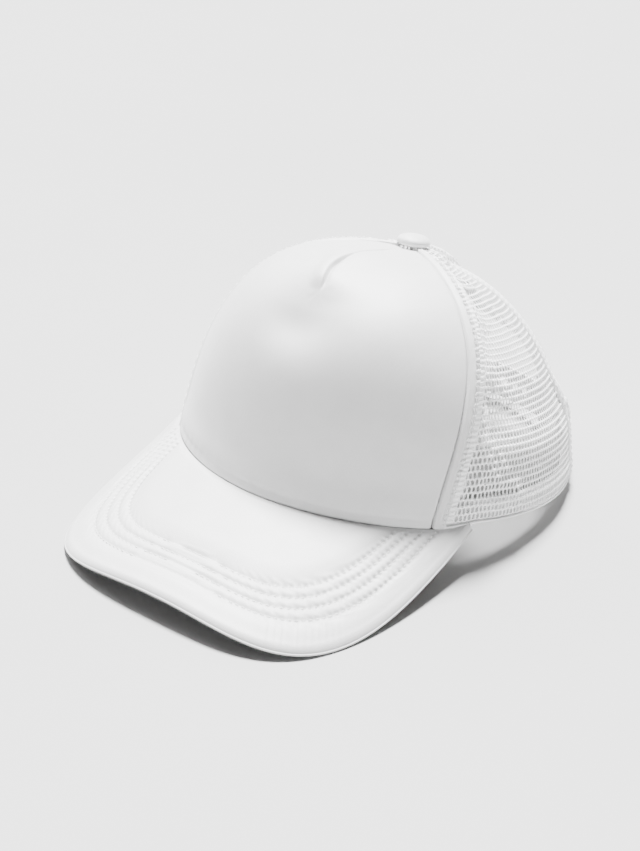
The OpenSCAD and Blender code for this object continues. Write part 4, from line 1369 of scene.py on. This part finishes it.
def make_strap(name, side, depth, holes, pegs, nodes):
    flat, triangles, loops = plate_points(holes)
    count = len(flat)
    rise = face_height(flat, holes)
    points = [strap_point(flat[:, 0], flat[:, 1], rise - depth),
              strap_point(flat[:, 0], flat[:, 1], -STRAP_THICKNESS - 0.5*rise - depth)]
    faces = [triangles, triangles[:, ::-1] + count]
    base = 2*count
    steps = ((0.12, -0.12), (0.0, -0.4), (0.0, -0.8), (0.12, -1.08))
    for number, loop in enumerate(loops):
        rings = [loop]
        for inset, out in steps:
            ring = (strap_outline(inset) if number == 0
                    else hole_loop(holes[number - 1], SNAP_HOLE_RADIUS + inset))
            points.append(strap_point(ring[:, 0], ring[:, 1], out - depth))
            rings.append(base + np.arange(len(ring)))
            base += len(ring)
        rings.append(loop + count)
        for a, b in zip(rings, rings[1:]):
            faces.append(np.stack([a, b, np.roll(b, -1), np.roll(a, -1)], -1))
    turn = np.linspace(0, 2*np.pi, 28, endpoint=False)
    stalk = ((2.3, -1.62), (1.95, -1.35), (1.85, -1.1), (1.85, -0.25), (2.12, 0.0), (2.18, 0.22), (2.0, 0.42),
             (1.5, 0.52), (0.8, 0.5), (0.05, 0.44))
    for c in pegs:
        for radius, out in stalk:
            points.append(strap_point(c + radius*np.cos(turn), STRAP_WIDTH/2 + radius*np.sin(turn), out))
        walls, first, last = tube_faces(len(stalk), 28)
        faces += [walls + base, first[None] + base, last[None] + base]
        base += len(stalk)*28
    points = np.concatenate(points)
    lo, hi = (strap_point(np.array(run), STRAP_WIDTH/2, -depth - 0.6) for run in (-2.6, 2.6))
    if side < 0:
        points, lo, hi = mirrored(points), mirrored(lo), mirrored(hi)
    strap = piece(name, settle(points), faces, STRAP, body=None, slot="strap_plastic", stands_for=nodes)
    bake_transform(strap)


def make_straps():
    make_strap("hole_strap_moulded", 1, 0.0, snap_runs(), [], ["hole_strap", "hole_strap_tab"])
    make_strap("peg_strap_moulded", -1, 1.5, [], snap_runs(), ["peg_strap", "peg_strap_tab"])


# ---- Floor, light and camera ----


FLOOR_FLAT, FLOOR_SWEEP, FLOOR_SIDES = 8.0, 4.0, 96


def make_floor():
    """A flat floor that sweeps up into a pale wall far away, so that low views don't see past it."""
    m = Nodes("floor_surface", False)
    broad, grain = m.noise(260, 3), m.noise(1.2, 3)
    m.colours(broad, grey(FLOOR_LEVEL - 0.01), grey(FLOOR_LEVEL + 0.01))
    m.link(m.spread(grain, 0.6, 0.75), m.shader.inputs["Roughness"])
    m.set(Specular_IOR_Level=0.25)
    m.bumps((grain, 0.03))
    rise = np.linspace(0, 1.35, 14)
    radius = np.append(0.01, FLOOR_FLAT + FLOOR_SWEEP*np.sin(rise))
    height = np.append(0.0, FLOOR_SWEEP*(1 - np.cos(rise)))
    turn = np.linspace(0, 2*np.pi, FLOOR_SIDES, endpoint=False)
    rings = np.stack([radius[:, None]*np.cos(turn), radius[:, None]*np.sin(turn),
                      height[:, None] + 0*turn], -1)
    faces = [tuple(range(FLOOR_SIDES))]
    for first in range(0, (len(radius) - 1)*FLOOR_SIDES, FLOOR_SIDES):
        for k in range(FLOOR_SIDES):
            here, after = first + k, first + (k + 1) % FLOOR_SIDES
            faces.append((here, here + FLOOR_SIDES, after + FLOOR_SIDES, after))
    mesh = bpy.data.meshes.new("floor")
    mesh.from_pydata(rings.reshape(-1, 3), [], faces)
    mesh.shade_smooth()
    mesh.materials.append(m.material)
    floor = bpy.data.objects.new("floor", mesh)
    bpy.context.scene.collection.objects.link(floor)


def far_light(name, direction, spread, strength):
    """A light so far off that it is even over the floor, spread degrees wide; direction is towards it."""
    data = bpy.data.lights.new(name, "SUN")
    data.angle, data.energy = math.radians(spread), strength
    lamp = bpy.data.objects.new(name, data)
    lamp.rotation_mode = "QUATERNION"
    lamp.rotation_quaternion = Vector(direction).to_track_quat("Z", "Y")
    bpy.context.scene.collection.objects.link(lamp)


def make_light():
    far_light("window", (-0.25, 0.37, 0.895), 14, WINDOW_LIGHT)
    far_light("side", (-0.70, 0.35, 0.62), 50, SIDE_LIGHT)
    far_light("ceiling", (-0.2, 0.1, 0.97), 100, CEILING_LIGHT)
    world = bpy.data.worlds.new("room")
    world.use_nodes = True
    background = world.node_tree.nodes["Background"]
    background.inputs["Color"].default_value = (1, 1, 1, 1)
    background.inputs["Strength"].default_value = ROOM_LIGHT
    bpy.context.scene.world = world


FLOOR_LEVEL, WINDOW_LIGHT, SIDE_LIGHT, CEILING_LIGHT, ROOM_LIGHT = 0.43, 24.0, 2.6, 0.5, 0.01
EYE = Vector((0.370510, -0.521842, 0.399592))
CAMERA_RIGHT = Vector((0.80268595, 0.59621968, 0.01474304))
CAMERA_UP = Vector((-0.30564628, 0.39001080, 0.86860343))


def make_camera():
    data = bpy.data.cameras.new("camera")
    data.sensor_fit, data.sensor_width, data.lens = "HORIZONTAL", 36, 85.2977
    data.clip_start, data.clip_end = 0.01, 100
    camera = bpy.data.objects.new("camera", data)
    back = CAMERA_RIGHT.cross(CAMERA_UP)
    turn = Matrix((CAMERA_RIGHT, CAMERA_UP, back)).transposed()
    camera.matrix_world = Matrix.Translation(EYE) @ turn.to_4x4()
    bpy.context.scene.collection.objects.link(camera)
    bpy.context.scene.camera = camera


def dress_frame():
    """Finishes for the parts of the frame that stay."""
    for name, material in (("button_shell", SHELL), ("button_rivet", RIVET)):
        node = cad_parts[name]
        node = node if hasattr(node, "data") else bpy.data.objects[name]
        node.data.materials.clear()
        node.data.materials.append(material)


make_camera()
make_floor()
make_light()
dress_frame()
make_front()
make_trims()
make_panel_stitching()
make_mesh_edges()
make_mesh_seams()
make_tapes()
make_nets()
make_hems()
make_brim_binding()
make_arch_binding()
make_sweatband()
make_brim()
make_brim_stitching()
make_brim_welt()
make_button()
make_straps()
